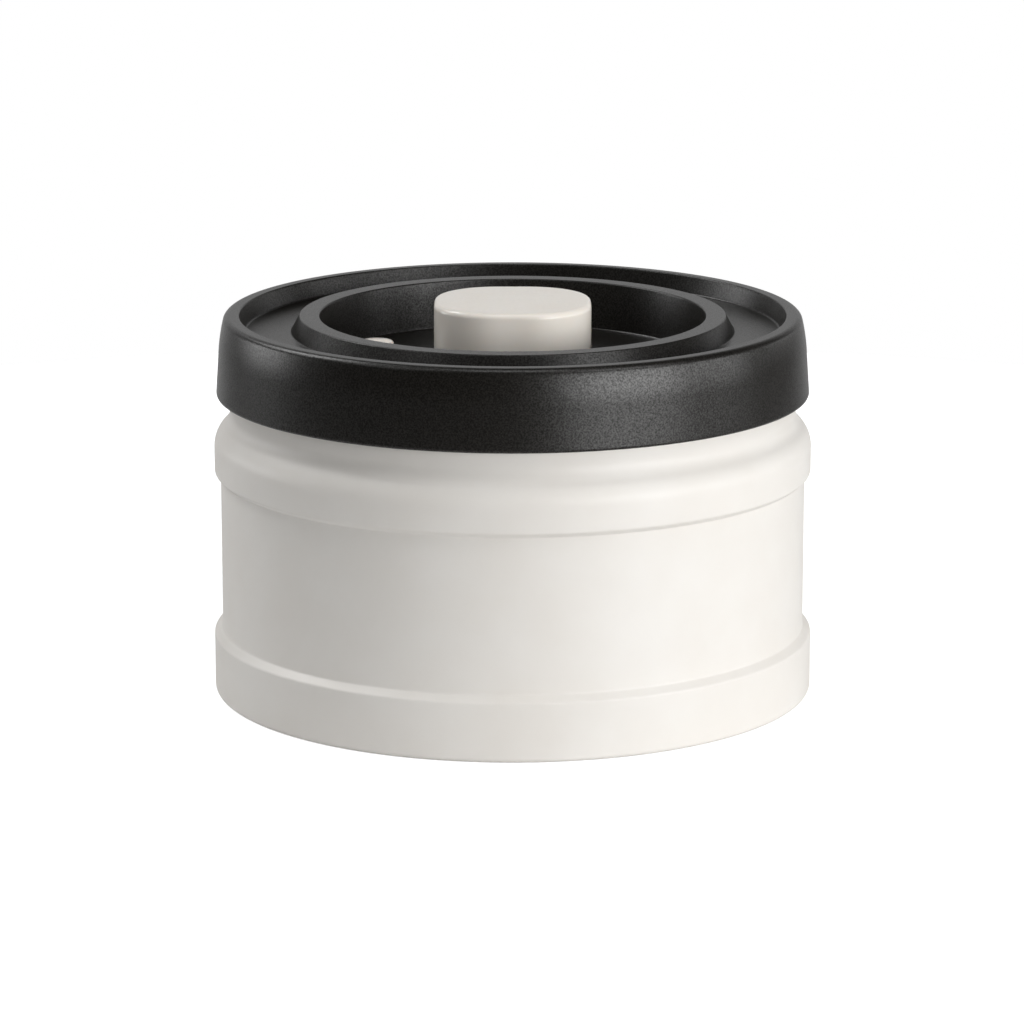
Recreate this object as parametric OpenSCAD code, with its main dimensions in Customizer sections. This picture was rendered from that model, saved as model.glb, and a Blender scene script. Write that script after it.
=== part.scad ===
// Coffee canister with a press-pump vacuum lid and a release valve.
// A round steel jar, a black lid that lifts off, a square button that pumps the air out,
// and a small cap that lets the air back in.
// Millimetres, +Z up, origin at the bottom centre of the jar.

/* [Jar] */
// Outer diameter of the band round the base
base_ring_d = 123; // [119:0.5:130]
// Height of the jar from the table to the top of its rolled mouth
jar_h = 70.5; // [66:0.5:90]
// Thickness of the painted steel
steel_t = 1; // [0.7:0.05:1.1]
// Height of the base band's upper edge
base_ring_h = 12; // [8:0.1:16]
// Height of the slope from the band's upper edge to the wall
band_rise = 1.3; // [0.8:0.05:2]
// How far the wall stands in from the base band
wall_step = 1.65; // [1.2:0.05:2.2]
// How far the bead stands in from the base band
bead_step = 0.4; // [0.1:0.05:0.8]
// How far the neck stands in from the base band
neck_step = 3.7; // [3.3:0.05:4.2]
// Height of the straight neck, from the shoulder to the mouth
neck_h = 12.1; // [11:0.1:14]
// Height of the bead's upright face
bead_h = 5.2; // [3:0.1:8]
// Height of the step from the bead's lower edge to the wall
bead_drop = 0.9; // [0.6:0.05:1.5]
// Radius of the bend from the bead's face to the shoulder
bead_round = 5.5; // [4:0.1:7]
// Radius of the hollow between the shoulder and the neck
shoulder_round = 4.5; // [3.5:0.1:6]
// Radius of the rolled edge round the mouth
curl_r = 1.15; // [1.12:0.01:1.3]
// Height of the bottom plate's underside above the table
foot_h = 1.5; // [1.2:0.1:2.2]
// Width of the flat ring that the jar stands on
foot_w = 5; // [3:0.5:8]

/* [Jar roundings] */
// Radius of the band's lower edge
base_edge_r = 0.9; // [0.5:0.05:1.4]
// Radius of the band's upper edge
band_edge_r = 0.7; // [0.4:0.05:1]
// Radius of the hollow between the band and the wall
band_hollow_r = 0.5; // [0.3:0.05:0.9]
// Radius of the bead's lower edge
bead_edge_r = 0.7; // [0.4:0.05:1]
// Radius of the crease between the bead and the wall
crease_r = 0.35; // [0.25:0.05:0.6]
// Width of the slope from the foot up to the bottom plate
foot_slope_w = 2.6; // [2:0.1:4]
// Radius of the bends between the foot and the bottom plate
foot_round = 1.4; // [1:0.1:1.8]

/* [Lid cover] */
// Wall thickness of the lid cover
cover_t = 1.8; // [1.4:0.1:2]
// Height of the skirt, from its lower edge to the rim's crest
skirt_h = 16.3; // [13:0.1:17]
// Gap between the neck and the skirt's lower edge
skirt_gap = 1.1; // [0.8:0.05:2]
// How far the skirt leans in between its lower edge and the rim
skirt_draft = 0.8; // [0.3:0.05:1]
// Radius of the rim's outer edge
rim_round = 3.3; // [2.5:0.1:3.8]
// Radius of the rim's inner edge
rim_inner_round = 0.9; // [0.5:0.1:1.5]
// Height of the rim above the channel floor
rim_h = 3.7; // [3:0.1:4.5]
// Slope of the rim's inner face, in degrees from level
rim_slope = 70; // [55:1:78]
// Width of the channel floor between the rim and the collar
channel_w = 8.6; // [6:0.1:9.5]
// Height of the collar above the channel floor
collar_h = 3.4; // [2.8:0.1:4.5]
// How far the collar's outer face leans in from base to top
collar_lean = 1.8; // [1:0.1:2.2]
// Width of the collar's flat top
collar_w = 4; // [3.6:0.1:5]
// Depth of the well below the collar's top
well_depth = 9.8; // [8:0.1:10.5]
// How far the well's wall leans in from top to floor
well_lean = 1.2; // [0.4:0.1:1.6]

/* [Lid base] */
// Wall thickness of the lid base
base_t = 2; // [1.8:0.1:2.4]
// Thickness of the flange that carries the lid on the mouth
flange_t = 1.6; // [1.2:0.1:2.2]
// Width of the flange past the side of the plug
flange_w = 5.2; // [4.4:0.1:5.6]
// Gap between the plug's side and the rolled mouth, where the gasket sits
plug_gap = 3.5; // [3:0.1:4.2]
// Wall thickness of the plug's side
plug_t = 1.6; // [1.2:0.1:2]
// Height of the gasket
gasket_h = 4; // [3.4:0.1:4.6]
// Thickness of the gasket's ring behind its lips
gasket_t = 1.5; // [1:0.1:2]
// Width and height of the ledge that holds the gasket up
ledge = 1.4; // [1:0.1:1.8]
// Height of the screw pillars above the base floor
pillar_h = 8; // [6:0.5:9]

/* [Lid screws] */
// Number of screws that hold the cover and the base together
screw_n = 6; // [3:1:8]
// Radius of the screw shank
screw_r = 1.5; // [1.2:0.05:1.7]
// Radius of the screw head
screw_head_r = 2.7; // [2.2:0.1:2.8]
// Height of the screw head
screw_head_h = 2; // [1.4:0.1:2.2]
// Length of the screw shank
screw_l = 14.5; // [10:0.5:15.5]
// Radius of the bosses under the cover
boss_r = 3.2; // [2.8:0.1:3.4]
// Depth of the hole that takes each screw head
head_sink = 3.5; // [3:0.1:4]

/* [Button] */
// Width of the square button
button_w = 32; // [28:0.1:36]
// Corner radius of the button
button_round = 13; // [9:0.1:13.9]
// Radius of the button's top edge
button_edge_r = 1.2; // [0.6:0.1:1.8]
// Height of the button's top above the well floor
button_h = 12.95; // [12:0.05:15]
// Thickness of the button's walls
button_t = 1.8; // [1.4:0.1:2]
// Thickness of the button's top
button_top_t = 2.2; // [1.6:0.1:2.8]
// Width of the ledge that keeps the button in the lid
button_lip = 1.4; // [1:0.1:2]
// Thickness of that ledge
button_lip_t = 2.5; // [1.6:0.1:3]
// How far the button travels
pump_stroke = 8.5; // [6:0.1:9]

/* [Pump] */
// Gap between the pump spring and the button's walls
spring_side_gap = 0.45; // [0.3:0.05:1.5]
// Gap between the pump spring and the cylinder
spring_bore_gap = 0.55; // [0.5:0.05:1]
// Wall thickness of the pump cylinder
cylinder_t = 1.2; // [1:0.05:1.3]
// Width of the cylinder's flange outside its screw heads
flange_edge_w = 0.7; // [0.4:0.1:1.6]
// Thickness of the cylinder's flange
cyl_flange_t = 2; // [1.6:0.1:2.6]
// Thickness of the cylinder's floor
cyl_floor_t = 1.6; // [1.2:0.1:2.2]
// Length of the button's rod from the button's underside to the piston
rod_l = 13.85; // [13:0.05:15]
// Radius of the button's rod
rod_r = 4.5; // [3.6:0.1:5.5]
// Height of the piston
piston_h = 5; // [4.6:0.1:5.6]
// Gap between the piston's flanges and the bore
piston_gap = 0.4; // [0.2:0.05:0.6]
// Height of the piston seal's groove
piston_groove_h = 2.2; // [1.8:0.1:2.4]
// Depth of the piston seal's groove
piston_groove_d = 2.4; // [1.8:0.1:3]
// Radius of the piston screw's shank
piston_screw_r = 1.25; // [1:0.05:1.5]
// Length of the piston screw's shank
piston_screw_l = 12; // [8:0.5:14]
// Radius of the seal ring's cord under the cylinder's flange
ring_cord_r = 0.6; // [0.5:0.05:0.7]
// Wall between the seal ring's groove and the flange's screws
flange_screw_wall = 0.8; // [0.6:0.05:1.2]
// Number of screws in the cylinder's flange
flange_screw_n = 4; // [3:1:6]
// Radius of those screws' shanks
flange_screw_r = 1.1; // [0.9:0.05:1.2]
// Radius of the intake valve's disc
intake_r = 6; // [5:0.1:7.5]
// Height of the intake valve's disc
intake_h = 1; // [0.8:0.1:1.4]
// Number of intake holes
intake_n = 6; // [3:1:8]

/* [Pump spring] */
// Wire diameter of the pump spring
spring_wire_d = 1; // [0.8:0.05:1.05]
// Number of turns of the pump spring
spring_turns = 8; // [5:1:9]

/* [Filter] */
// Thickness of the dust filter
filter_t = 0.8; // [0.5:0.1:1.5]
// Thickness of the filter cover's plate
filter_plate_t = 1.2; // [0.8:0.1:2]
// Wall thickness of the filter cover and of the ring that it clips to
filter_wall_t = 1.4; // [1.1:0.1:2]
// Radius of the filter cover's holes
mesh_hole_r = 0.7; // [0.4:0.05:0.9]
// Distance between the filter cover's holes
mesh_pitch = 3; // [2.6:0.1:4]
// Radius of the field of holes
mesh_field_r = 12.6; // [8:0.2:15]

/* [Release valve] */
// Distance between the button and the release cap
valve_side = 8.25; // [7.4:0.05:11]
// Radius of the release cap
cap_r = 3.55; // [3:0.05:4]
// Height of the release cap above the well floor
cap_h = 4.5; // [3.5:0.1:5.5]
// Radius of the cap's top edge
cap_edge_r = 0.7; // [0.3:0.05:1]
// Width of the ledge that keeps the cap in the lid
cap_lip = 1.25; // [0.9:0.05:1.5]
// Thickness of that ledge
cap_lip_t = 1.6; // [1.2:0.1:2.4]
// How far the cap travels
valve_stroke = 2; // [1:0.1:2.6]
// Radius of the release stem
stem_r = 1.5; // [1.2:0.05:1.7]
// Depth of the stem's socket in the cap
stem_socket = 5.5; // [4:0.1:6]
// Height of the valve boss above the base floor
valve_boss_h = 3; // [2:0.1:4]
// Radius of the release seal
release_seal_r = 4.2; // [3.4:0.1:4.6]
// Thickness of the release seal
release_seal_t = 1.4; // [1:0.1:2]
// Thickness of the keeper under the seal
keeper_t = 1.2; // [0.8:0.1:1.6]
// Wire diameter of the release spring
valve_wire_d = 0.5; // [0.4:0.05:0.6]
// Number of turns of the release spring
valve_turns = 6; // [4:1:8]

/* [Clearances] */
// Gap between a curved face and what it rests on
seat_gap = 0.3; // [0.2:0.05:0.5]
// Gap at each side of a button or cap in its hole
slide_gap = 0.3; // [0.2:0.05:0.4]
// Radial gap of a running or screwed fit
fit_gap = 0.05; // [0.02:0.01:0.1]
// Space left under the button at the end of its travel
stop_gap = 0.7; // [0.4:0.1:1.2]

/* [Hidden] */
$fn = 96;
eps = 0.01;
arc_steps = 10;

// Colours, as the photograph shows them
paint_white = "#e9e5df";
black_plastic = "#2b2a27";
off_white = "#e4e1dc";
grey_plastic = "#6e6e6c";
silicone = "#cfcfca";
steel = "#b9bbbd";
felt = "#f2f0ea";

// Jar outline
ring_r = base_ring_d / 2;
wall_r = ring_r - wall_step;
bead_r = ring_r - bead_step;
neck_r = ring_r - neck_step;
mouth_r = neck_r - 2 * curl_r;
inner_edge_r = 0.2;
foot_inner_r = ring_r - base_edge_r - foot_w;
shoulder_bend = acos(1 - (bead_r - neck_r) / (bead_round + shoulder_round));
shoulder_z = jar_h - neck_h;
crest_z = shoulder_z - (bead_round + shoulder_round) * sin(shoulder_bend);

// Lid levels, from the mouth up
flange_z = jar_h + seat_gap;
under_z = flange_z + flange_t;
channel_z = under_z + cover_t;
rim_z = channel_z + rim_h;
collar_z = channel_z + collar_h;
well_z = collar_z - well_depth;
well_under_z = well_z - cover_t;
skirt_z = rim_z - skirt_h;

// Lid radii, from the skirt in
skirt_thinning = 0.1;
rim_thickening = 0.2;
skirt_wall_t = cover_t - skirt_thinning;
skirt_in_r = neck_r + skirt_gap;
skirt_r = skirt_in_r + skirt_wall_t;
rim_r = skirt_r - skirt_draft - rim_round;
rim_inner_r = rim_r - rim_inner_round * tan(rim_slope / 2);
channel_out_r = rim_inner_r - rim_h / tan(rim_slope);
channel_fillet_r = 1;
channel_edge_r = channel_out_r - channel_fillet_r * tan(rim_slope / 2);
collar_base_r = channel_edge_r - channel_w;
collar_top_r = collar_base_r - collar_lean;
well_top_r = collar_top_r - collar_w;
well_r = well_top_r - well_lean;
moulded_edge_r = 0.5;
plug_r = mouth_r - plug_gap;
plug_in_r = plug_r - plug_t;
flange_r = plug_r + flange_w;

// Button levels at rest, and its place beside the release cap
valve_offset = button_w / 2 + valve_side + cap_r;
button_top_z = well_z + button_h;
button_under_z = button_top_z - button_top_t;
button_lip_z = well_under_z - seat_gap;
button_bottom_z = button_lip_z - button_lip_t;
button_in_w = button_w - 2 * button_t;
button_in_round = button_round - button_t;

// Pump levels: the floor lies just under the button's lowest place
floor_top_z = button_bottom_z - pump_stroke - stop_gap - cyl_flange_t;
floor_z = floor_top_z - base_t;
cyl_flange_z = floor_top_z + cyl_flange_t;
spring_r = button_in_w / 2 - spring_side_gap - spring_wire_d / 2;
cyl_r = spring_r - spring_wire_d / 2 - spring_bore_gap;
bore_r = cyl_r - cylinder_t;
cyl_headroom = 1.5;
cyl_top_z = button_under_z - pump_stroke - cyl_headroom;
piston_top_z = button_under_z - rod_l;
piston_z = piston_top_z - piston_h;
chamber_z = piston_z - pump_stroke - intake_h - 2 * seat_gap;
cyl_bottom_z = chamber_z - cyl_floor_t;
piston_r = bore_r - piston_gap;
piston_groove_r = piston_r - piston_groove_d;
piston_groove_z = piston_z + (piston_h - piston_groove_h) / 2;
piston_head_r = 2.9;
piston_head_h = 1.8;
piston_head_z = piston_z + 0.4;
piston_seat_z = piston_head_z + piston_head_h;
cyl_hole_r = cyl_r + piston_gap;
ring_wall = 0.4;
ring_r_mid = cyl_hole_r + ring_wall + ring_cord_r;
flange_head_r = 2.2;
flange_head_h = 1.3;
flange_boss_r = 2.6;
flange_screw_pcr = ring_r_mid + ring_cord_r + flange_screw_wall + flange_screw_r;
cyl_flange_r = flange_screw_pcr + flange_head_r + flange_edge_w;
notch_r = 0.9;
notch_n = 8;
slot_w = 0.8;
small_slot_w = 0.6;
slot_depth = 1.2;
intake_stem_r = 1.4;
intake_bulb_h = 1.3;
intake_bulb_lip = 0.5;
intake_hole_r = 0.8;
intake_hole_pcr = 3.6;

// Filter levels, under the intake valve
filter_top_z = cyl_bottom_z - intake_bulb_h - seat_gap;
filter_z = filter_top_z - filter_t;
filter_cover_z = filter_z - filter_plate_t;
clip_in_r = flange_screw_pcr + flange_boss_r + seat_gap;
clip_r = clip_in_r + filter_wall_t;
filter_cover_r = clip_r + fit_gap + filter_wall_t;
filter_r = clip_r - 2 * fit_gap;
flange_tip_floor = 0.5;
flange_tip_gap = 0.2;
flange_tip_z = filter_top_z + 2 * seat_gap + flange_tip_floor;

// Lid screws
boss_pcr = plug_in_r - boss_r - seat_gap;
pillar_wall_t = 1.3;
pillar_r = screw_head_r + fit_gap + pillar_wall_t;
pillar_z = floor_top_z + pillar_h;
head_seat_z = floor_z + head_sink;
screw_tip_gap = 0.8;

// Release valve levels
cap_top_z = well_z + cap_h;
cap_lip_z = well_under_z - seat_gap;
cap_z = cap_lip_z - cap_lip_t;
valve_boss_r = 4;
valve_boss_z = floor_top_z + valve_boss_h;
valve_air_gap = 0.4;
stem_top_z = cap_z + stem_socket;
keeper_r = 2.9;
keeper_z = floor_z - release_seal_t - keeper_t;

// Springs: seats, and the release spring's coil radius
spring_z0 = cyl_flange_z + fit_gap;
spring_z1 = button_under_z - fit_gap;
valve_spring_gap = 0.85;
valve_spring_r = stem_r + valve_spring_gap + valve_wire_d / 2;
valve_spring_z0 = valve_boss_z + fit_gap;
valve_spring_z1 = cap_z - fit_gap;
coil_rings = 16;
coil_sides = 6;

// Least gap between neighbouring turns, with each spring at rest and pressed
echo(pump_spring_gap = turn_gap(spring_z1 - spring_z0, spring_turns, spring_wire_d));
echo(pump_spring_gap_pressed = turn_gap(spring_z1 - spring_z0 - pump_stroke, spring_turns, spring_wire_d));
echo(release_spring_gap = turn_gap(valve_spring_z1 - valve_spring_z0, valve_turns, valve_wire_d));
echo(release_spring_gap_pressed =
    turn_gap(valve_spring_z1 - valve_spring_z0 - valve_stroke, valve_turns, valve_wire_d));

function turn_gap(height, turns, wire_d) = (height - wire_d) / turns - wire_d;

// Points of an arc round a centre, from one angle to another
function arc(centre, r, from, to, steps = arc_steps) = [
    for (i = [0:steps])
        let (a = from + (to - from) * i / steps)
            [centre[0] + r * cos(a), centre[1] + r * sin(a)]
];

function reversed(points) = [for (i = [len(points) - 1:-1:0]) points[i]];

function unit(v) = v / norm(v);

// Arc that rounds the corner b of the path a, b, c
function rounded_corner(a, b, c, r) =
    let (
        u = unit(a - b),
        v = unit(c - b),
        half = acos(u * v) / 2,
        centre = b + unit(u + v) * r / sin(half),
        p = b + u * r / tan(half) - centre,
        q = b + v * r / tan(half) - centre,
        from = atan2(p[1], p[0]),
        turn = atan2(q[1], q[0]) - from,
        sweep = turn > 180 ? turn - 360 : turn < -180 ? turn + 360 : turn
    )
    arc(centre, r, from, from + sweep, 8);

// Closed outline from corners given as [radius, height, rounding]
function outline(corners) = [
    for (i = [0:len(corners) - 1])
        let (
            n = len(corners),
            at = function (k) [corners[(k + n) % n][0], corners[(k + n) % n][1]],
            r = corners[i][2]
        )
        each (r > 0 ? rounded_corner(at(i - 1), at(i), at(i + 1), r) : [at(i)])
];

// Corners of an open path moved to its left by inset, and their roundings with them
function inset_corners(corners, inset) = [
    for (i = [0:len(corners) - 1])
        let (
            at = function (k) [corners[k][0], corners[k][1]],
            m = max(i, 1),
            n = min(i, len(corners) - 2),
            before = unit(at(m) - at(m - 1)),
            after = unit(at(n + 1) - at(n)),
            left = [-before[1] - after[1], before[0] + after[0]] / (1 + before * after),
            place = at(i) + left * inset,
            r = corners[i][2]
        )
        [place[0], place[1], r > 0 ? max(r - sign(cross(before, after)) * inset, inner_edge_r) : 0]
];

// The jar's surface from the middle of the bottom to the neck, moved inwards by inset
function jar_side(inset) =
    let (
        bead_low_z = crest_z - bead_h,
        bead_top_z = crest_z + bead_round * tan(shoulder_bend / 2),
        neck_low_z = shoulder_z - shoulder_round * tan(shoulder_bend / 2)
    )
    outline(inset_corners([
        [0, foot_h, 0],
        [foot_inner_r - foot_slope_w, foot_h, foot_round],
        [foot_inner_r, 0, foot_round],
        [ring_r, 0, base_edge_r],
        [ring_r, base_ring_h, band_edge_r],
        [wall_r, base_ring_h + band_rise, band_hollow_r],
        [wall_r, bead_low_z - bead_drop, crease_r],
        [bead_r, bead_low_z, bead_edge_r],
        [bead_r, bead_top_z, bead_round],
        [neck_r, neck_low_z, shoulder_round],
        [neck_r, jar_h - 3 * curl_r, 0]
    ], inset));

function jar_outline() =
    let (curl_end = 360 - acos((curl_r - steel_t) / curl_r))
    concat(
        jar_side(0),
        arc([neck_r - curl_r, jar_h - curl_r], curl_r, 0, curl_end, 2 * arc_steps),
        reversed(jar_side(steel_t))
    );

function cover_outline() =
    let (
        core_z = rim_z - cover_t - rim_thickening,
        slope_gap = cover_t / sin(rim_slope),
        lean_gap = cover_t + rim_thickening
    )
    outline([
        [skirt_r, skirt_z, moulded_edge_r],
        [skirt_r - skirt_draft, rim_z, rim_round],
        [rim_inner_r, rim_z, rim_inner_round],
        [channel_out_r, channel_z, channel_fillet_r],
        [collar_base_r, channel_z, moulded_edge_r],
        [collar_top_r, collar_z, moulded_edge_r],
        [well_top_r, collar_z, moulded_edge_r],
        [well_r, well_z, channel_fillet_r],
        [0, well_z, 0],
        [0, well_under_z, 0],
        [well_r + cover_t, well_under_z, channel_fillet_r],
        [well_top_r + cover_t, collar_z - cover_t, 0],
        [collar_top_r - lean_gap, collar_z - cover_t, 0],
        [collar_base_r - lean_gap / 2, under_z, 0],
        [channel_out_r + slope_gap - channel_fillet_r, under_z, 0],
        [rim_inner_r + moulded_edge_r, core_z, 0],
        [rim_r + moulded_edge_r, core_z, 0],
        [skirt_in_r - skirt_draft, core_z - rim_round / 2, 0],
        [skirt_in_r, skirt_z, skirt_wall_t / 8]
    ]);

// Wire of a spring as one closed tube: half a turn lies flat at each end
function spring_point(s, r, z0, z1, turns) =
    let (
        climb = max(0, min(1, (s * turns - 0.5) / (turns - 1))),
        a = 360 * s * turns
    )
    [r * cos(a), r * sin(a), z0 + (z1 - z0) * climb];

function spring_rings(r, wire_d, z0, z1, turns) =
    let (count = turns * coil_rings)
    [
        for (i = [0:count])
            let (
                s = i / count,
                p = spring_point(s, r, z0, z1, turns),
                out = [cos(360 * s * turns), sin(360 * s * turns), 0]
            )
            [
                for (k = [0:coil_sides - 1])
                    let (b = 360 * k / coil_sides)
                        p + out * (wire_d / 2) * cos(b) + [0, 0, wire_d / 2 * sin(b) / sin(60)]
            ]
    ];

module tube(rings) {
    n = len(rings[0]);
    last = len(rings) - 1;
    points = [for (ring = rings) each ring];
    sides = [
        for (i = [0:last - 1], k = [0:n - 1])
            let (m = (k + 1) % n)
                each [
                    [i * n + k, i * n + m, (i + 1) * n + m],
                    [i * n + k, (i + 1) * n + m, (i + 1) * n + k]
                ]
    ];
    start = [for (k = [n - 1:-1:0]) k];
    end = [for (k = [0:n - 1]) last * n + k];
    polyhedron(points, concat(sides, [start, end]));
}

module spring(r, wire_d, bottom_z, top_z, turns) {
    half = wire_d / 2;
    tube(spring_rings(r, wire_d, bottom_z + half, top_z - half, turns));
}

module ring(outer, inner, z0, z1) {
    translate([0, 0, z0])
        difference() {
            cylinder(r = outer, h = z1 - z0);
            translate([0, 0, -eps]) cylinder(r = inner, h = z1 - z0 + 2 * eps);
        }
}

module pillar(r, z0, z1) {
    translate([0, 0, z0]) cylinder(r = r, h = z1 - z0);
}

// Copies round the lid's axis
module round_row(count, radius, start = 0) {
    for (i = [0:count - 1])
        rotate([0, 0, start + 360 * i / count])
            translate([radius, 0, 0]) children();
}

// Square plan with round corners
module square_plan(w, r) {
    square([w, w - 2 * r], center = true);
    square([w - 2 * r, w], center = true);
    for (x = [-1, 1], y = [-1, 1])
        translate([x * (w / 2 - r), y * (w / 2 - r)]) circle(r = r);
}

module square_block(w, r, z0, z1) {
    translate([0, 0, z0]) linear_extrude(z1 - z0) square_plan(w, r);
}

// Square block whose top edge is rounded
module soft_block(w, r, edge, z0, z1) {
    half = w / 2;
    core = half - r;
    side = concat([[0, z0], [r, z0]], arc([r - edge, z1 - edge], edge, 0, 90), [[0, z1]]);
    profile = concat(
        [[-half, z0], [half, z0]],
        arc([half - edge, z1 - edge], edge, 0, 90),
        arc([edge - half, z1 - edge], edge, 90, 180)
    );
    for (x = [-1, 1], y = [-1, 1])
        translate([x * core, y * core, 0]) rotate_extrude() polygon(side);
    for (a = [0, 90])
        rotate([90, 0, a]) linear_extrude(2 * core, center = true) polygon(profile);
}

module cross_slot(width, length, z0, z1) {
    for (a = [0, 90])
        rotate([0, 0, a])
            translate([-length / 2, -width / 2, z0]) cube([length, width, z1 - z0]);
}

// Places what belongs to the release valve
module at_valve() {
    translate([-valve_offset, 0, 0]) children();
}

module canister_body() {
    color(paint_white) rotate_extrude() polygon(jar_outline());
}

module lid_cover() {
    hole_w = button_w + 2 * slide_gap;
    hole_round = button_round + slide_gap;
    color(black_plastic)
    difference() {
        union() {
            rotate_extrude() polygon(cover_outline());
            round_row(screw_n, boss_pcr) pillar(boss_r, pillar_z, under_z + cover_t / 2);
        }
        square_block(hole_w, hole_round, well_under_z - 1, well_z + 1);
        at_valve() pillar(cap_r + slide_gap, well_under_z - 1, well_z + 1);
        round_row(screw_n, boss_pcr)
            pillar(screw_r + fit_gap, pillar_z - 1, head_seat_z + screw_l + screw_tip_gap);
    }
}

module lid_base() {
    ledge_z = flange_z - gasket_h;
    color(black_plastic)
    difference() {
        union() {
            rotate_extrude()
                polygon(outline([
                    [0, floor_z, 0],
                    [plug_r, floor_z, base_t],
                    [plug_r, ledge_z - ledge, 0],
                    [plug_r + ledge, ledge_z - ledge / 2, 0],
                    [plug_r + ledge, ledge_z, 0],
                    [plug_r, ledge_z, 0],
                    [plug_r, flange_z, 0],
                    [flange_r, flange_z, 0],
                    [flange_r, under_z, 0.3],
                    [plug_in_r, under_z, 0],
                    [plug_in_r, floor_top_z, channel_fillet_r],
                    [0, floor_top_z, 0]
                ]));
            round_row(screw_n, boss_pcr) pillar(pillar_r, floor_z + base_t / 2, pillar_z);
            round_row(flange_screw_n, flange_screw_pcr, 45)
                pillar(flange_boss_r, filter_top_z + seat_gap, floor_top_z - eps);
            ring(clip_r, clip_in_r, filter_top_z, floor_z + eps);
            at_valve() pillar(valve_boss_r, floor_z, valve_boss_z);
        }
        pillar(cyl_hole_r, floor_z - 1, floor_top_z + 1);
        ring(
            ring_r_mid + ring_cord_r + fit_gap, ring_r_mid - ring_cord_r - fit_gap,
            floor_top_z - 2 * ring_cord_r, floor_top_z + 1
        );
        round_row(flange_screw_n, flange_screw_pcr, 45)
            pillar(flange_screw_r + fit_gap, flange_tip_z - flange_tip_gap, floor_top_z + 1);
        round_row(screw_n, boss_pcr) {
            pillar(screw_r + slide_gap, floor_z - 1, pillar_z + 1);
            pillar(screw_head_r + fit_gap, floor_z - 1, head_seat_z);
        }
        at_valve() pillar(stem_r + valve_air_gap, floor_z - 1, valve_boss_z + 1);
    }
}

module lid_gasket() {
    tip_r = mouth_r - seat_gap;
    z0 = flange_z - gasket_h;
    back_r = plug_r + gasket_t;
    lip_t = 0.7;
    color(silicone)
    rotate_extrude()
        polygon([
            [plug_r, z0],
            [tip_r - lip_t, z0],
            [tip_r - lip_t / 2, z0 + lip_t],
            [back_r, z0 + gasket_h * 0.3],
            [back_r, z0 + gasket_h * 0.5],
            [tip_r, z0 + gasket_h * 0.58],
            [tip_r, z0 + gasket_h * 0.72],
            [back_r, z0 + gasket_h * 0.85],
            [back_r, z0 + gasket_h],
            [plug_r, z0 + gasket_h]
        ]);
}

module cover_screws() {
    color(steel)
    round_row(screw_n, boss_pcr)
        difference() {
            union() {
                pillar(screw_r, head_seat_z - eps, head_seat_z + screw_l);
                pillar(screw_head_r, head_seat_z - screw_head_h, head_seat_z);
            }
            cross_slot(
                slot_w, 2 * slot_w + screw_head_r,
                head_seat_z - screw_head_h - eps, head_seat_z - screw_head_h + slot_depth
            );
        }
}

module pump_button() {
    lip_w = button_w + 2 * button_lip;
    color(off_white)
    difference() {
        union() {
            soft_block(button_w, button_round, button_edge_r, button_bottom_z, button_top_z);
            square_block(lip_w, button_round + button_lip, button_bottom_z, button_lip_z);
        }
        difference() {
            square_block(button_in_w, button_in_round, button_bottom_z - 1, button_under_z);
            pillar(rod_r, piston_top_z, button_under_z + 1);
        }
        pillar(piston_screw_r + fit_gap, piston_top_z - 1, piston_seat_z + piston_screw_l + screw_tip_gap);
    }
}

module piston() {
    color(grey_plastic)
    difference() {
        pillar(piston_r, piston_z, piston_top_z);
        ring(piston_r + 1, piston_groove_r, piston_groove_z, piston_groove_z + piston_groove_h);
        pillar(piston_screw_r + slide_gap, piston_z - 1, piston_top_z + 1);
        pillar(piston_head_r + slide_gap, piston_z - 1, piston_seat_z);
        round_row(notch_n, piston_r) pillar(notch_r, piston_z - 1, piston_groove_z);
    }
}

// Lip ring: its lip opens upwards, so it holds on the way up and lets air pass on the way down
module piston_seal() {
    tip_r = bore_r - fit_gap;
    z0 = piston_groove_z;
    h = piston_groove_h;
    back_r = piston_groove_r + piston_groove_d * 0.55;
    color(silicone)
    rotate_extrude()
        polygon([
            [piston_groove_r, z0],
            [back_r, z0],
            [tip_r, z0 + h * 0.72],
            [tip_r, z0 + h * 0.9],
            [back_r, z0 + h * 0.45],
            [back_r, z0 + h],
            [piston_groove_r, z0 + h]
        ]);
}

module piston_screw() {
    color(steel)
    difference() {
        union() {
            pillar(piston_screw_r, piston_seat_z - eps, piston_seat_z + piston_screw_l);
            pillar(piston_head_r, piston_head_z, piston_seat_z);
        }
        cross_slot(slot_w, 2 * slot_w + piston_head_r, piston_head_z - eps, piston_head_z + slot_depth);
    }
}

module pump_spring() {
    color(steel) spring(spring_r, spring_wire_d, spring_z0, spring_z1, spring_turns);
}

module pump_cylinder() {
    color(grey_plastic)
    difference() {
        union() {
            pillar(cyl_r, cyl_bottom_z, cyl_top_z);
            pillar(cyl_flange_r, floor_top_z, cyl_flange_z);
        }
        pillar(bore_r, chamber_z, cyl_top_z + 1);
        pillar(intake_stem_r + fit_gap, cyl_bottom_z - 1, chamber_z + 1);
        round_row(intake_n, intake_hole_pcr) pillar(intake_hole_r, cyl_bottom_z - 1, chamber_z + 1);
        round_row(flange_screw_n, flange_screw_pcr, 45) {
            pillar(flange_screw_r + slide_gap, floor_top_z - 1, cyl_flange_z + 1);
            countersink(slide_gap);
        }
    }
}

// Cone of a flush screw head, with room round it
module countersink(room) {
    translate([0, 0, cyl_flange_z - flange_head_h])
        cylinder(r1 = flange_screw_r + room, r2 = flange_head_r + room, h = flange_head_h + eps);
}

module cylinder_seal() {
    color(silicone)
    translate([0, 0, floor_top_z - ring_cord_r])
        rotate_extrude() translate([ring_r_mid, 0]) circle(r = ring_cord_r, $fn = 32);
}

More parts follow.
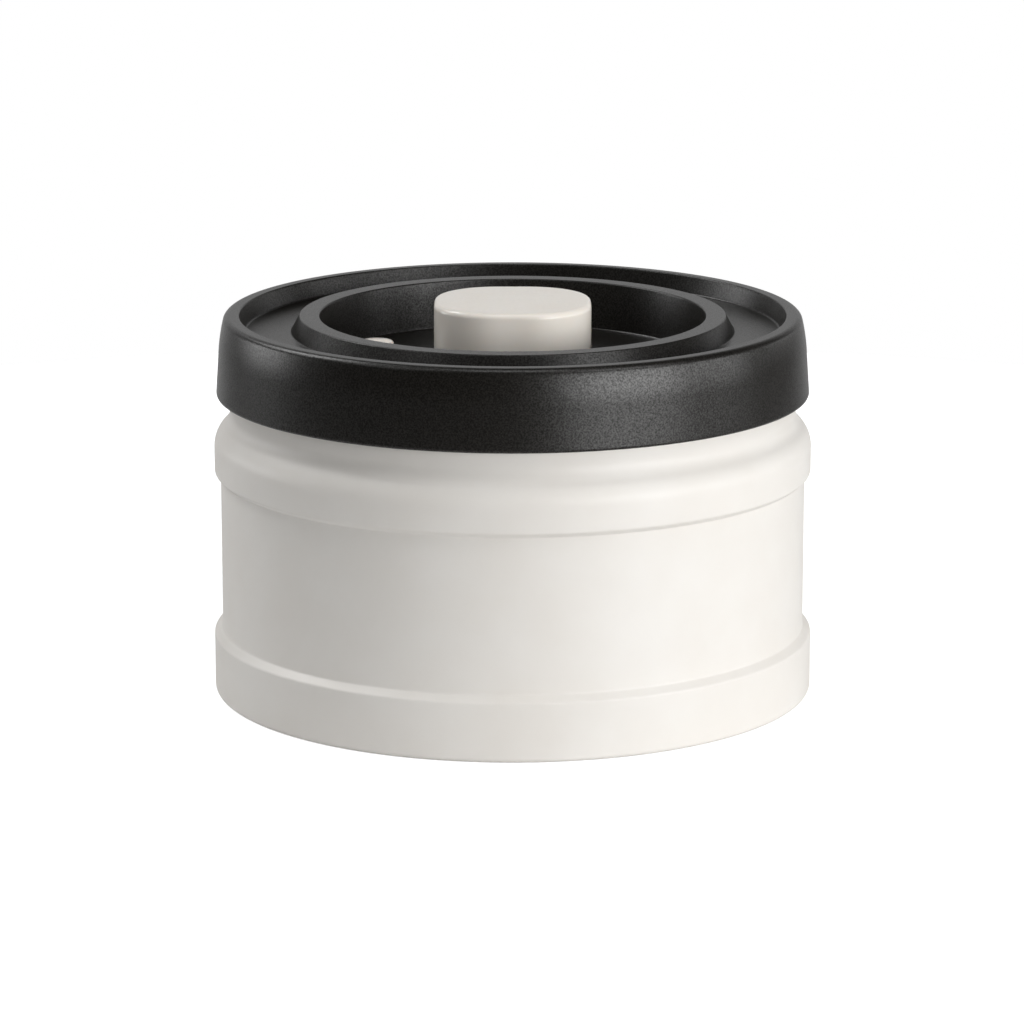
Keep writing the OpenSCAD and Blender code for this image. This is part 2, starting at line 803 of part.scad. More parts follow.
module cylinder_screws() {
    color(steel)
    round_row(flange_screw_n, flange_screw_pcr, 45)
        difference() {
            union() {
                pillar(flange_screw_r, flange_tip_z, cyl_flange_z - flange_head_h + eps);
                translate([0, 0, cyl_flange_z - flange_head_h])
                    cylinder(r1 = flange_screw_r, r2 = flange_head_r, h = flange_head_h);
            }
            cross_slot(
                small_slot_w, 2 * small_slot_w + flange_screw_r,
                cyl_flange_z - flange_head_h / 2, cyl_flange_z + eps
            );
        }
}

// Umbrella valve: its disc lies on the chamber floor and covers the intake holes
module intake_valve() {
    bulb_r = intake_stem_r + intake_bulb_lip;
    color(silicone)
    rotate_extrude()
        polygon([
            [0, cyl_bottom_z - intake_bulb_h],
            [intake_stem_r * 0.6, cyl_bottom_z - intake_bulb_h],
            [bulb_r, cyl_bottom_z - intake_bulb_h * 0.4],
            [bulb_r, cyl_bottom_z],
            [intake_stem_r, cyl_bottom_z],
            [intake_stem_r, chamber_z],
            [intake_r, chamber_z],
            [intake_r, chamber_z + intake_h * 0.35],
            [intake_stem_r, chamber_z + intake_h],
            [0, chamber_z + intake_h]
        ]);
}

module dust_filter() {
    color(felt) pillar(filter_r, filter_z, filter_top_z);
}

module filter_cover() {
    rows = floor(mesh_field_r / mesh_pitch) + 1;
    row_h = mesh_pitch * sin(60);
    color(black_plastic)
    difference() {
        rotate_extrude()
            polygon(outline([
                [0, filter_cover_z, 0],
                [filter_cover_r, filter_cover_z, 1],
                [filter_cover_r, floor_z - seat_gap, 0.3],
                [clip_r + fit_gap, floor_z - seat_gap, 0],
                [clip_r + fit_gap, filter_z, 0],
                [0, filter_z, 0]
            ]));
        for (j = [-rows:rows], i = [-rows:rows]) {
            x = (i + (abs(j) % 2) / 2) * mesh_pitch;
            y = j * row_h;
            if (norm([x, y]) <= mesh_field_r)
                translate([x, y, 0]) pillar(mesh_hole_r, filter_cover_z - 1, filter_z + 1);
        }
    }
}

module release_cap() {
    lip_r = cap_r + cap_lip;
    color(off_white)
    at_valve()
        rotate_extrude()
            polygon(outline([
                [stem_r + fit_gap, cap_z, 0],
                [lip_r, cap_z, 0],
                [lip_r, cap_lip_z, 0],
                [cap_r, cap_lip_z, 0],
                [cap_r, cap_top_z, cap_edge_r],
                [0, cap_top_z, 0],
                [0, stem_top_z, 0],
                [stem_r + fit_gap, stem_top_z, 0]
            ]));
}

module release_stem() {
    color(grey_plastic) at_valve() pillar(stem_r, keeper_z, stem_top_z);
}

module release_seal() {
    color(silicone) at_valve() ring(release_seal_r, stem_r, floor_z - release_seal_t, floor_z);
}

module release_keeper() {
    color(grey_plastic) at_valve() ring(keeper_r, stem_r, keeper_z, keeper_z + keeper_t);
}

module release_spring() {
    color(steel)
    at_valve()
        spring(valve_spring_r, valve_wire_d, valve_spring_z0, valve_spring_z1, valve_turns);
}

canister_body();
lid_cover();
lid_base();
lid_gasket();
cover_screws();
pump_button();
piston();
piston_seal();
piston_screw();
pump_spring();
pump_cylinder();
cylinder_seal();
cylinder_screws();
intake_valve();
dust_filter();
filter_cover();
release_cap();
release_stem();
release_seal();
release_keeper();
release_spring();
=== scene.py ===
# Looks of a coffee canister with a press-pump lid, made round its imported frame
import math

import bmesh
import bpy
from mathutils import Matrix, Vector
from mathutils.geometry import delaunay_2d_cdt


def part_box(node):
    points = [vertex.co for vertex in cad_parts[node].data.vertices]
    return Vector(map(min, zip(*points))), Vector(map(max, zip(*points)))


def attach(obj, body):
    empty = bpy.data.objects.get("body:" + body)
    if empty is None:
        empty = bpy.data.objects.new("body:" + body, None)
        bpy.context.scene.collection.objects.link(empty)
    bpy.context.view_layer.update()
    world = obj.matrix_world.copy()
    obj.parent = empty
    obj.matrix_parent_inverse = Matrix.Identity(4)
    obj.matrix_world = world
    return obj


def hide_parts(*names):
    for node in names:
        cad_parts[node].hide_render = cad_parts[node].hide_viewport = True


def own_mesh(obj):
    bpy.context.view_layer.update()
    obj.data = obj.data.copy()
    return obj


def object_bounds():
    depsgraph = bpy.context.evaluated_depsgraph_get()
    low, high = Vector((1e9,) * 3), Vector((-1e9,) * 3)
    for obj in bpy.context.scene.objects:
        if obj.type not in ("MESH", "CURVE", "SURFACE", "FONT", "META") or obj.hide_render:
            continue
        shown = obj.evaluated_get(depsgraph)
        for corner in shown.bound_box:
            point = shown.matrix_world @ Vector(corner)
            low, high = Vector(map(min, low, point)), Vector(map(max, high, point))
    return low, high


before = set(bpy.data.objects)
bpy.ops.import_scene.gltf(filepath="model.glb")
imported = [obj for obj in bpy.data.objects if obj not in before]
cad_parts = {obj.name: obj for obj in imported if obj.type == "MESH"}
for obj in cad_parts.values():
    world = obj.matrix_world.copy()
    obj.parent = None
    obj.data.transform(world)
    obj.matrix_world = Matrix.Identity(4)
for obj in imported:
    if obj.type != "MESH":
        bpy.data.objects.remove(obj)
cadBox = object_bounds()
mm = 0.001
print("frame loaded:", len(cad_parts), "nodes")


# Nodes, colours and materials

def addNode(tree, kind, settings=None, values=None, links=None):
    # settings are the node's own choices; values and links go to its sockets, by name or number
    node = tree.nodes.new(kind)
    for key, value in (settings or {}).items():
        setattr(node, key, value)
    for key, value in (values or {}).items():
        node.inputs[key].default_value = value
    for key, source in (links or {}).items():
        tree.links.new(source, node.inputs[key])
    return node


def toLinear(hexColour):
    parts = [int(hexColour[i:i + 2], 16) / 255 for i in (1, 3, 5)]
    return [c / 12.92 if c <= 0.04045 else ((c + 0.055) / 1.055) ** 2.4 for c in parts] + [1.0]


def newSurface(name, values):
    # A material with its shader's own values set, and its tree left open for texture
    material = bpy.data.materials.new(name)
    material.use_nodes = True
    tree = material.node_tree
    shader = tree.nodes["Principled BSDF"]
    for key, value in values.items():
        shader.inputs[key].default_value = value
    return material, tree, shader


def objectPlace(tree):
    return addNode(tree, "ShaderNodeTexCoord").outputs["Object"]


def grain(tree, vector, sizeMm, detail=2.0, roughness=0.5):
    # Noise whose grains are about sizeMm across
    return addNode(tree, "ShaderNodeTexNoise",
                   values={"Scale": 1 / (sizeMm * mm), "Detail": detail, "Roughness": roughness},
                   links={"Vector": vector}).outputs["Fac"]


def spread(tree, source, low, high, fromLow=0.3, fromHigh=0.7):
    # Spreads the middle of a pattern over the values from low to high
    return addNode(tree, "ShaderNodeMapRange",
                   values={"From Min": fromLow, "From Max": fromHigh, "To Min": low, "To Max": high},
                   links={"Value": source}).outputs["Result"]


def blendColours(tree, factor, first, second):
    mix = addNode(tree, "ShaderNodeMix", {"data_type": "RGBA"},
                  {6: toLinear(first), 7: toLinear(second)}, {0: factor})
    return mix.outputs[2]


def bump(tree, height, depthMm, strength=1.0, under=None):
    node = addNode(tree, "ShaderNodeBump", values={"Strength": strength, "Distance": depthMm * mm},
                   links={"Height": height})
    if under is not None:
        tree.links.new(under, node.inputs["Normal"])
    return node.outputs["Normal"]


powderCoatLook = {
    "colour": "#ebe8e3",
    "shade": "#e7e3dd",
    "roughness": 0.46,
    "peelMm": 1.6,      # waves of the baked powder, as on orange peel
    "peelDepthMm": 0.012,
    "grainMm": 0.45,    # the powder's own grains are 0.05 mm, too fine to show, so they are drawn coarser
    "grainDepthMm": 0.006,
}


def powderCoat(look):
    # Polyester powder baked on steel: an even warm white with a soft sheen and a faint orange peel
    material, tree, shader = newSurface("powderCoatedSteel", {"IOR": 1.5})
    place = objectPlace(tree)
    peel = grain(tree, place, look["peelMm"])
    fine = grain(tree, place, look["grainMm"])
    cloud = grain(tree, place, 18, 3)
    colour = blendColours(tree, spread(tree, cloud, 0, 1), look["colour"], look["shade"])
    tree.links.new(colour, shader.inputs["Base Color"])
    rough = spread(tree, fine, look["roughness"] - 0.04, look["roughness"] + 0.04)
    tree.links.new(rough, shader.inputs["Roughness"])
    waves = bump(tree, peel, look["peelDepthMm"])
    tree.links.new(bump(tree, fine, look["grainDepthMm"], under=waves), shader.inputs["Normal"])
    return material


blackPlasticLook = {
    "colour": "#110f0c",
    "fleck": "#17140f",
    "roughness": 0.33,
    "pitGloss": 0.28,   # the pits swallow the light, and the flats between them glint in the sheen
    "flatGloss": 0.66,
    "grainMm": 0.34,    # spark-eroded pits are 0.1 mm wide and are drawn coarser, so that they show
    "grainDepthMm": 0.022,
}


def sparkErodedPlastic(look):
    # Black ABS from a spark-eroded mould: near black, with a fine even grain that glitters in the sheen
    material, tree, shader = newSurface("sparkErodedBlackPlastic", {"IOR": 1.5})
    place = objectPlace(tree)
    pits = grain(tree, place, look["grainMm"], 3, 0.6)
    fine = grain(tree, place, look["grainMm"] / 2.2, 2)
    colour = blendColours(tree, spread(tree, pits, 0, 1, 0.48, 0.66), look["colour"], look["fleck"])
    tree.links.new(colour, shader.inputs["Base Color"])
    gloss = spread(tree, pits, look["pitGloss"], look["flatGloss"], 0.38, 0.62)
    tree.links.new(gloss, shader.inputs["Specular IOR Level"])
    rough = spread(tree, fine, look["roughness"] - 0.06, look["roughness"] + 0.06)
    tree.links.new(rough, shader.inputs["Roughness"])
    tree.links.new(bump(tree, pits, look["grainDepthMm"]), shader.inputs["Normal"])
    return material


glossPlasticLook = {
    "colour": "#f6f0e7",
    "shade": "#f4ede3",
    "roughness": 0.24,
    "flowMm": 7,        # broad, barely visible waves that moulding leaves in a polished face
    "flowDepthMm": 0.01,
}


def polishedPlastic(look):
    # Off-white ABS from a polished mould: glossy, slightly warm, with a trace of light under the skin
    values = {"IOR": 1.53, "Subsurface Weight": 0.12, "Subsurface Scale": 0.0012}
    material, tree, shader = newSurface("polishedOffWhitePlastic", values)
    shader.inputs["Subsurface Radius"].default_value = (1.0, 0.8, 0.6)
    place = objectPlace(tree)
    flow = grain(tree, place, look["flowMm"])
    fine = grain(tree, place, 0.6)
    colour = blendColours(tree, spread(tree, flow, 0, 1), look["colour"], look["shade"])
    tree.links.new(colour, shader.inputs["Base Color"])
    rough = spread(tree, fine, look["roughness"] - 0.02, look["roughness"] + 0.02)
    tree.links.new(rough, shader.inputs["Roughness"])
    tree.links.new(bump(tree, flow, look["flowDepthMm"]), shader.inputs["Normal"])
    return material


def roundLines(tree):
    # Object place as radius, height and angle, stretched so that noise on it runs in rings round Z
    place = objectPlace(tree)
    parts = addNode(tree, "ShaderNodeSeparateXYZ", links={0: place})
    flat = addNode(tree, "ShaderNodeCombineXYZ", links={0: parts.outputs["X"], 1: parts.outputs["Y"]})
    radius = addNode(tree, "ShaderNodeVectorMath", {"operation": "LENGTH"}, links={0: flat.outputs[0]})
    turn = addNode(tree, "ShaderNodeMath", {"operation": "ARCTAN2"},
                   links={0: parts.outputs["Y"], 1: parts.outputs["X"]})
    slow = addNode(tree, "ShaderNodeMath", {"operation": "MULTIPLY"}, {1: 2 * mm}, {0: turn.outputs[0]})
    return addNode(tree, "ShaderNodeCombineXYZ",
                   links={0: radius.outputs["Value"], 1: slow.outputs[0], 2: parts.outputs["Z"]}).outputs[0]


stainlessLook = {
    "colour": "#b9b7b2",
    "shade": "#a5a39e",
    "roughness": 0.33,
    "lineMm": 0.35,     # spinning lines are 0.05 mm apart, and are drawn coarser, so that they show
    "lineDepthMm": 0.006,
}


def spunStainless(look):
    # Bare stainless steel, spun and brushed on the lathe: satin, with fine lines all the way round
    material, tree, shader = newSurface("spunStainlessSteel", {"Metallic": 1.0, "Anisotropic": 0.4})
    lines = grain(tree, roundLines(tree), look["lineMm"], 4, 0.7)
    cloud = grain(tree, objectPlace(tree), 14, 3)
    colour = blendColours(tree, spread(tree, lines, 0, 1), look["colour"], look["shade"])
    tree.links.new(colour, shader.inputs["Base Color"])
    rough = spread(tree, cloud, look["roughness"] - 0.05, look["roughness"] + 0.07)
    tree.links.new(rough, shader.inputs["Roughness"])
    tree.links.new(bump(tree, lines, look["lineDepthMm"]), shader.inputs["Normal"])
    return material


def mouldedGreyPlastic():
    # Grey POM, a slippery moulding plastic: dull, slightly waxy, with a fine matt skin
    material, tree, shader = newSurface("mouldedGreyPlastic", {"IOR": 1.48})
    place = objectPlace(tree)
    fine = grain(tree, place, 0.35, 3)
    colour = blendColours(tree, spread(tree, fine, 0, 1), "#70706e", "#6a6a68")
    tree.links.new(colour, shader.inputs["Base Color"])
    tree.links.new(spread(tree, fine, 0.38, 0.5), shader.inputs["Roughness"])
    tree.links.new(bump(tree, fine, 0.008), shader.inputs["Normal"])
    return material


def siliconeRubber():
    # Food-grade silicone, moulded: milky and soft-looking, dull, with light passing a little way in
    values = {"IOR": 1.41, "Subsurface Weight": 0.35, "Subsurface Scale": 0.003}
    material, tree, shader = newSurface("milkySiliconeRubber", values)
    shader.inputs["Subsurface Radius"].default_value = (1.0, 0.9, 0.8)
    place = objectPlace(tree)
    dust = grain(tree, place, 0.5, 3)
    cloud = grain(tree, place, 9)
    colour = blendColours(tree, spread(tree, cloud, 0, 1), "#d3d2cd", "#c9c8c2")
    tree.links.new(colour, shader.inputs["Base Color"])
    tree.links.new(spread(tree, dust, 0.42, 0.58), shader.inputs["Roughness"])
    tree.links.new(bump(tree, dust, 0.006), shader.inputs["Normal"])
    return material


def zincPlatedSteel():
    # Steel wire and screws with a bright zinc plating: silvery, with faint drawing marks and dull spots
    material, tree, shader = newSurface("zincPlatedSteel", {"Metallic": 1.0})
    place = objectPlace(tree)
    marks = grain(tree, place, 0.5, 4, 0.65)
    colour = blendColours(tree, spread(tree, marks, 0, 1), "#c3c4c6", "#aeafb1")
    tree.links.new(colour, shader.inputs["Base Color"])
    tree.links.new(spread(tree, marks, 0.22, 0.38), shader.inputs["Roughness"])
    tree.links.new(bump(tree, marks, 0.008), shader.inputs["Normal"])
    return material


def needledFelt():
    # Nonwoven polyester felt, needled: white, fully matt, with short fibres lying every way
    values = {"IOR": 1.45, "Sheen Weight": 0.25, "Sheen Roughness": 0.5}
    material, tree, shader = newSurface("needledPolyesterFelt", values)
    place = objectPlace(tree)
    warp = addNode(tree, "ShaderNodeTexNoise", values={"Scale": 1 / (1.2 * mm)}, links={"Vector": place})
    fibres = addNode(tree, "ShaderNodeTexWave", {"bands_direction": "DIAGONAL"},
                     {"Scale": 1 / (1.4 * mm), "Distortion": 9.0, "Detail": 3.0, "Detail Scale": 2.0},
                     {"Vector": place, "Phase Offset": warp.outputs["Fac"]})
    colour = blendColours(tree, fibres.outputs["Fac"], "#f4f2ec", "#dedbd3")
    tree.links.new(colour, shader.inputs["Base Color"])
    tree.links.new(spread(tree, fibres.outputs["Fac"], 0.85, 0.95, 0, 1), shader.inputs["Roughness"])
    tree.links.new(bump(tree, fibres.outputs["Fac"], 0.1), shader.inputs["Normal"])
    return material


powderCoated = powderCoat(powderCoatLook)
stainless = spunStainless(stainlessLook)
blackPlastic = sparkErodedPlastic(blackPlasticLook)
offWhitePlastic = polishedPlastic(glossPlasticLook)
greyPlastic = mouldedGreyPlastic()
silicone = siliconeRubber()
zincSteel = zincPlatedSteel()
felt = needledFelt()
print("materials made:", len(bpy.data.materials))


# Outlines: lists of (radius, height) in millimetres

def arc(centre, radius, start, end, steps=10):
    turns = [math.radians(start + (end - start) * i / steps) for i in range(steps + 1)]
    return [(centre[0] + radius * math.cos(a), centre[1] + radius * math.sin(a)) for a in turns]


def roundedCorner(before, corner, after, radius, steps=8):
    a, b, c = Vector(before), Vector(corner), Vector(after)
    u, v = (a - b).normalized(), (c - b).normalized()
    half = u.angle(v) / 2
    centre = b + (u + v).normalized() * radius / math.sin(half)
    p = b + u * radius / math.tan(half) - centre
    q = b + v * radius / math.tan(half) - centre
    start = math.degrees(math.atan2(p.y, p.x))
    sweep = (math.degrees(math.atan2(q.y, q.x)) - start + 180) % 360 - 180
    return arc(centre, radius, start, start + sweep, steps)


def roundedPath(corners, closed=False):
    # A path through corners given as (radius, height, rounding)
    points = []
    last = len(corners) - 1
    for i, (r, z, rounding) in enumerate(corners):
        if rounding == 0 or (not closed and i in (0, last)):
            points.append((r, z))
        else:
            before, after = corners[i - 1], corners[(i + 1) % len(corners)]
            points += roundedCorner(before[:2], (r, z), after[:2], rounding)
    return points + points[:1] if closed else points


def withSupports(points, reach=0.15):
    # Extra points near both ends of each straight stretch keep its shading flat
    out = [points[0]]
    for a, b in zip(points, points[1:]):
        length = math.dist(a, b)
        if length > 4 * reach:
            share = reach / length
            out += [(a[0] + (b[0] - a[0]) * s, a[1] + (b[1] - a[1]) * s) for s in (share, 1 - share)]
        out.append(b)
    return [p for i, p in enumerate(out) if i == 0 or math.dist(p, out[i - 1]) > 1e-4]


def newTree(name, sockets):
    tree = bpy.data.node_groups.new(name, "GeometryNodeTree")
    for socket, kind in sockets.items():
        tree.interface.new_socket(name=socket, in_out="INPUT", socket_type="NodeSocket" + kind)
    tree.interface.new_socket(name="Result", in_out="OUTPUT", socket_type="NodeSocketGeometry")
    return tree, addNode(tree, "NodeGroupInput").outputs


def closeTree(tree, geometry, material):
    # Every tree ends alike: real geometry, smooth faces and one material
    real = addNode(tree, "GeometryNodeRealizeInstances", links={0: geometry})
    smooth = addNode(tree, "GeometryNodeSetShadeSmooth", links={0: real.outputs[0]})
    painted = addNode(tree, "GeometryNodeSetMaterial", links={"Geometry": smooth.outputs[0], "Material": material})
    addNode(tree, "NodeGroupOutput", links={0: painted.outputs[0]})


def grow(name, tree, values, base):
    # Runs a tree on a base mesh and keeps the result as a plain mesh of its own
    obj = bpy.data.objects.new(name, base)
    bpy.context.scene.collection.objects.link(obj)
    modifier = obj.modifiers.new("grow", "NODES")
    modifier.node_group = tree
    for socket in tree.interface.items_tree:
        if socket.in_out == "INPUT" and socket.name in values:
            modifier[socket.identifier] = values[socket.name]
    seen = obj.evaluated_get(bpy.context.evaluated_depsgraph_get())
    obj.data = bpy.data.meshes.new_from_object(seen)
    obj.modifiers.remove(modifier)
    obj.data.name = name
    # One slot is kept, for the tree's own material
    kept = values["Material"]
    obj.data.materials.clear()
    obj.data.materials.append(kept)
    for face in obj.data.polygons:
        face.material_index = 0
    return obj


def tidyMesh(obj, sharpAngle=38):
    # Merges doubles, turns faces outwards and keeps true corners sharp
    work = bmesh.new()
    work.from_mesh(obj.data)
    bmesh.ops.remove_doubles(work, verts=work.verts, dist=1e-7)
    bmesh.ops.recalc_face_normals(work, faces=work.faces)
    work.to_mesh(obj.data)
    work.free()
    obj.data.shade_smooth()
    obj.data.set_sharp_from_angle(angle=math.radians(sharpAngle))
    return obj


def polyline(name, points):
    # Outline points become a chain of edges in the XZ plane, in metres
    mesh = bpy.data.meshes.new(name)
    places = [(r * mm, 0, z * mm) for r, z in points]
    mesh.from_pydata(places, [(i, i + 1) for i in range(len(points) - 1)], [])
    return mesh


def spinTree():
    # Turns an outline round Z: a grid takes its columns as angles and its rows as outline points
    tree, given = newTree("spinOutline", {"Outline": "Geometry", "Segments": "Int", "Material": "Material"})
    outline = given["Outline"]
    size = addNode(tree, "GeometryNodeAttributeDomainSize", links={0: outline})
    rows = size.outputs["Point Count"]
    columns = addNode(tree, "FunctionNodeIntegerMath", {"operation": "ADD"}, {1: 1}, {0: given["Segments"]})
    grid = addNode(tree, "GeometryNodeMeshGrid", links={"Vertices X": columns.outputs[0], "Vertices Y": rows})
    index = addNode(tree, "GeometryNodeInputIndex").outputs[0]
    column = addNode(tree, "FunctionNodeIntegerMath", {"operation": "DIVIDE_FLOOR"}, links={0: index, 1: rows})
    row = addNode(tree, "FunctionNodeIntegerMath", {"operation": "MODULO"}, links={0: index, 1: rows})
    place = addNode(tree, "GeometryNodeInputPosition").outputs[0]
    point = addNode(tree, "GeometryNodeSampleIndex", {"data_type": "FLOAT_VECTOR"},
                    links={"Geometry": outline, "Value": place, "Index": row.outputs[0]}).outputs[0]
    share = addNode(tree, "ShaderNodeMath", {"operation": "DIVIDE"},
                    links={0: column.outputs[0], 1: given["Segments"]})
    angle = addNode(tree, "ShaderNodeMath", {"operation": "MULTIPLY"}, {1: 2 * math.pi}, {0: share.outputs[0]})
    turned = addNode(tree, "ShaderNodeVectorRotate", {"rotation_type": "Z_AXIS"},
                     links={"Vector": point, "Angle": angle.outputs[0]})
    moved = addNode(tree, "GeometryNodeSetPosition",
                    links={"Geometry": grid.outputs["Mesh"], "Position": turned.outputs[0]})
    merged = addNode(tree, "GeometryNodeMergeByDistance", values={"Distance": 1e-6},
                     links={"Geometry": moved.outputs[0]})
    closeTree(tree, merged.outputs[0], given["Material"])
    return tree


spin = spinTree()


def spun(name, points, material, segments):
    values = {"Segments": segments, "Material": material}
    return tidyMesh(grow(name, spin, values, polyline(name, withSupports(points))))


def reach(node):
    # Largest distance of a CAD node's surface from the Z axis, in millimetres
    return max(math.hypot(v.co.x, v.co.y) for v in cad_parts[node].data.vertices) / mm


def levels(node):
    low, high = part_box(node)
    return low.z / mm, high.z / mm


def settle(piece, body, slot, *nodes):
    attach(piece, body)
    if nodes:
        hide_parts(*nodes)


# Jar: pressed steel, painted outside and bare inside

jar = {
    "segments": 288,
    "steel": 1.0,
    "wallStep": 1.65,       # how far the wall stands in from the base band
    "beadStep": 0.4,
    "neckStep": 3.7,
    "neckHeight": 12.1,
    "beadLow": 45.78,
    "beadHigh": 53.42,
    "beadEdge": 0.7,
    "beadRound": 5.5,
    "shoulderLow": 56.4,
    "shoulderRound": 4.5,
    "creaseDrop": 0.9,
    "creaseRound": 0.35,    # paint softens the crease under the bead
    "bandHeight": 12.0,
    "bandRise": 1.3,
    "bandEdge": 0.7,
    "bandHollow": 0.5,
    "baseEdge": 0.9,
    "footWidth": 5.9,
    "footHeight": 1.5,
    "footSlope": 2.6,
    "footRound": 1.4,
    "curl": 1.15,
}


def insetCorners(corners, inset):
    # Moves a path of corners to its left by inset, and its roundings with it
    out = []
    for i, (r, z, rounding) in enumerate(corners):
        here = Vector((r, z))
        before = (here - Vector(corners[i - 1][:2])).normalized() if i > 0 else None
        after = (Vector(corners[i + 1][:2]) - here).normalized() if i < len(corners) - 1 else before
        before = before or after
        left = Vector((-before.y - after.y, before.x + after.x)) / (1 + before.dot(after))
        turn = before.x * after.y - before.y * after.x
        place = here + left * inset
        out.append((place.x, place.y, max(rounding - math.copysign(inset, turn), 0.2) if rounding else 0))
    return out


def jarCorners(size, ringR, top):
    # From the middle of the bottom over the foot, the band and the bead up to the neck
    wallR = ringR - size["wallStep"]
    beadR = ringR - size["beadStep"]
    neckR = ringR - size["neckStep"]
    innerFoot = ringR - size["footWidth"]
    return [
        (0, size["footHeight"], 0),
        (innerFoot - size["footSlope"], size["footHeight"], size["footRound"]),
        (innerFoot, 0, size["footRound"]),
        (ringR, 0, size["baseEdge"]),
        (ringR, size["bandHeight"], size["bandEdge"]),
        (wallR, size["bandHeight"] + size["bandRise"], size["bandHollow"]),
        (wallR, size["beadLow"] - size["creaseDrop"], size["creaseRound"]),
        (beadR, size["beadLow"], size["beadEdge"]),
        (beadR, size["beadHigh"], size["beadRound"]),
        (neckR, size["shoulderLow"], size["shoulderRound"]),
        (neckR, top - size["curl"], 0),
    ]


def makeJar(size):
    ringR = reach("canister_body")
    top = levels("canister_body")[1]
    curl = size["curl"]
    neckR = ringR - size["neckStep"]
    curlEnd = 360 - math.degrees(math.acos((curl - size["steel"]) / curl))
    corners = jarCorners(size, ringR, top)
    outside = roundedPath(corners) + arc((neckR - curl, top - curl), curl, 0, 80, 8)
    inside = arc((neckR - curl, top - curl), curl, 80, curlEnd, 20)
    inside += roundedPath(insetCorners(corners, size["steel"]))[::-1]
    piece = spun("jarShell", outside + inside, powderCoated, size["segments"])
    # Faces that look at the jar's axis or up from its floor are bare steel
    piece.data.materials.append(stainless)
    edge = (neckR - curl) * mm
    for face in piece.data.polygons:
        middle, normal = face.center, face.normal
        towards = normal.x * middle.x + normal.y * middle.y
        across = math.hypot(middle.x, middle.y)
        if middle.z > (top - 2 * curl) * mm:
            bare = across < edge
        else:
            bare = towards < -1e-6 and middle.z > size["footHeight"] * mm or normal.z > 0.5 and across < edge
        face.material_index = 1 if bare else 0
    settle(piece, "canister", "painted_steel", "canister_body")
    return piece


makeJar(jar)
print("jar made")


# Lid cover: one moulding with a skirt, a rim, a channel, a collar and a well

lid = {
    "segments": 288,
    "wall": 1.8,
    "skirtHeight": 16.3,
    "skirtWall": 1.7,
    "skirtLean": 3.8,       # degrees off the upright, more near the rim
    "skirtStraight": 9.0,
    "rimLean": 13.5,
    "rimRound": 1.4,
    "rimInset": 4.8,        # from the skirt's foot to the rim's inner edge
    "rimInnerRound": 0.35,
    "rimHeight": 3.7,
    "rimSlope": 73,
    "collarInset": 15.37,
    "collarHeight": 3.4,
    "collarLean": 1.8,
    "collarWidth": 4.0,
    "wellDepth": 9.8,
    "wellLean": 1.2,
    "edge": 0.35,
    "channelFillet": 0.5,
    "fillet": 0.4,
    "holeGap": 0.3,
    "holeEdge": 0.3,
}


def lidOutline(size, skirtR, rimZ, innerR):
    # From the well's floor over the collar and the rim, round the skirt and back under
    tangent = math.tan(math.radians(size["rimSlope"]))
    channelZ = rimZ - size["rimHeight"]
    collarZ = channelZ + size["collarHeight"]
    wellZ = collarZ - size["wellDepth"]
    underZ = channelZ - size["wall"]
    floorUnder = wellZ - size["wall"]
    skirtZ = rimZ - size["skirtHeight"]
    skirtIn = skirtR - size["skirtWall"]
    rimInner = skirtR - size["rimInset"]
    channelOut = rimInner - size["rimHeight"] / tangent
    collarBase = skirtR - size["collarInset"]
    collarTop = collarBase - size["collarLean"]
    wellTop = collarTop - size["collarWidth"]
    wellR = wellTop - size["wellLean"]
    coreZ = rimZ - size["wall"] - 0.2
    slopeGap = size["wall"] / math.sin(math.radians(size["rimSlope"]))
    leanGap = size["wall"] + 0.2
    edge, fillet = size["edge"], size["fillet"]
    lean, rimLean = math.radians(size["skirtLean"]), math.radians(size["rimLean"])
    bendZ = skirtZ + size["skirtStraight"]
    bendR = skirtR - size["skirtStraight"] * math.tan(lean)
    rounding = size["rimRound"]
    roundZ = rimZ - rounding
    bend = (roundZ + rounding * math.sin(rimLean) - bendZ) / (math.sin(rimLean) - math.sin(lean))
    bendCentre = (bendR - bend * math.cos(lean), bendZ - bend * math.sin(lean))
    roundR = bendCentre[0] + (bend - rounding) * math.cos(rimLean)
    upper = [
        (innerR, wellZ, 0),
        (wellR, wellZ, fillet),
        (wellTop, collarZ, edge),
        (collarTop, collarZ, edge),
        (collarBase, channelZ, edge),
        (channelOut, channelZ, size["channelFillet"]),
        (rimInner, rimZ, size["rimInnerRound"]),
        (roundR, rimZ, 0),
    ]
    lower = [
        (bendR, bendZ, 0),
        (skirtR, skirtZ, 0.5),
        (skirtIn, skirtZ, 0.2),
        (skirtIn - 0.8, coreZ - 1.65, 0),
        (rimInner + 1.2, coreZ, 0),
        (rimInner + 0.6, coreZ, 0),
        (channelOut + slopeGap - 0.4, underZ, 0),
        (collarBase - leanGap / 2, underZ, 0),
        (collarTop - leanGap, collarZ - size["wall"], 0),
        (wellTop + size["wall"], collarZ - size["wall"], 0),
        (wellR + size["wall"], floorUnder, fillet),
        (innerR, floorUnder, 0),
    ]
    shoulder = arc((roundR, roundZ), rounding, 90, size["rimLean"])
    side = arc(bendCentre, bend, size["rimLean"], size["skirtLean"], 16)
    points = roundedPath(upper) + shoulder[1:] + side[1:] + roundedPath(lower)[1:]
    return points, wellZ, floorUnder


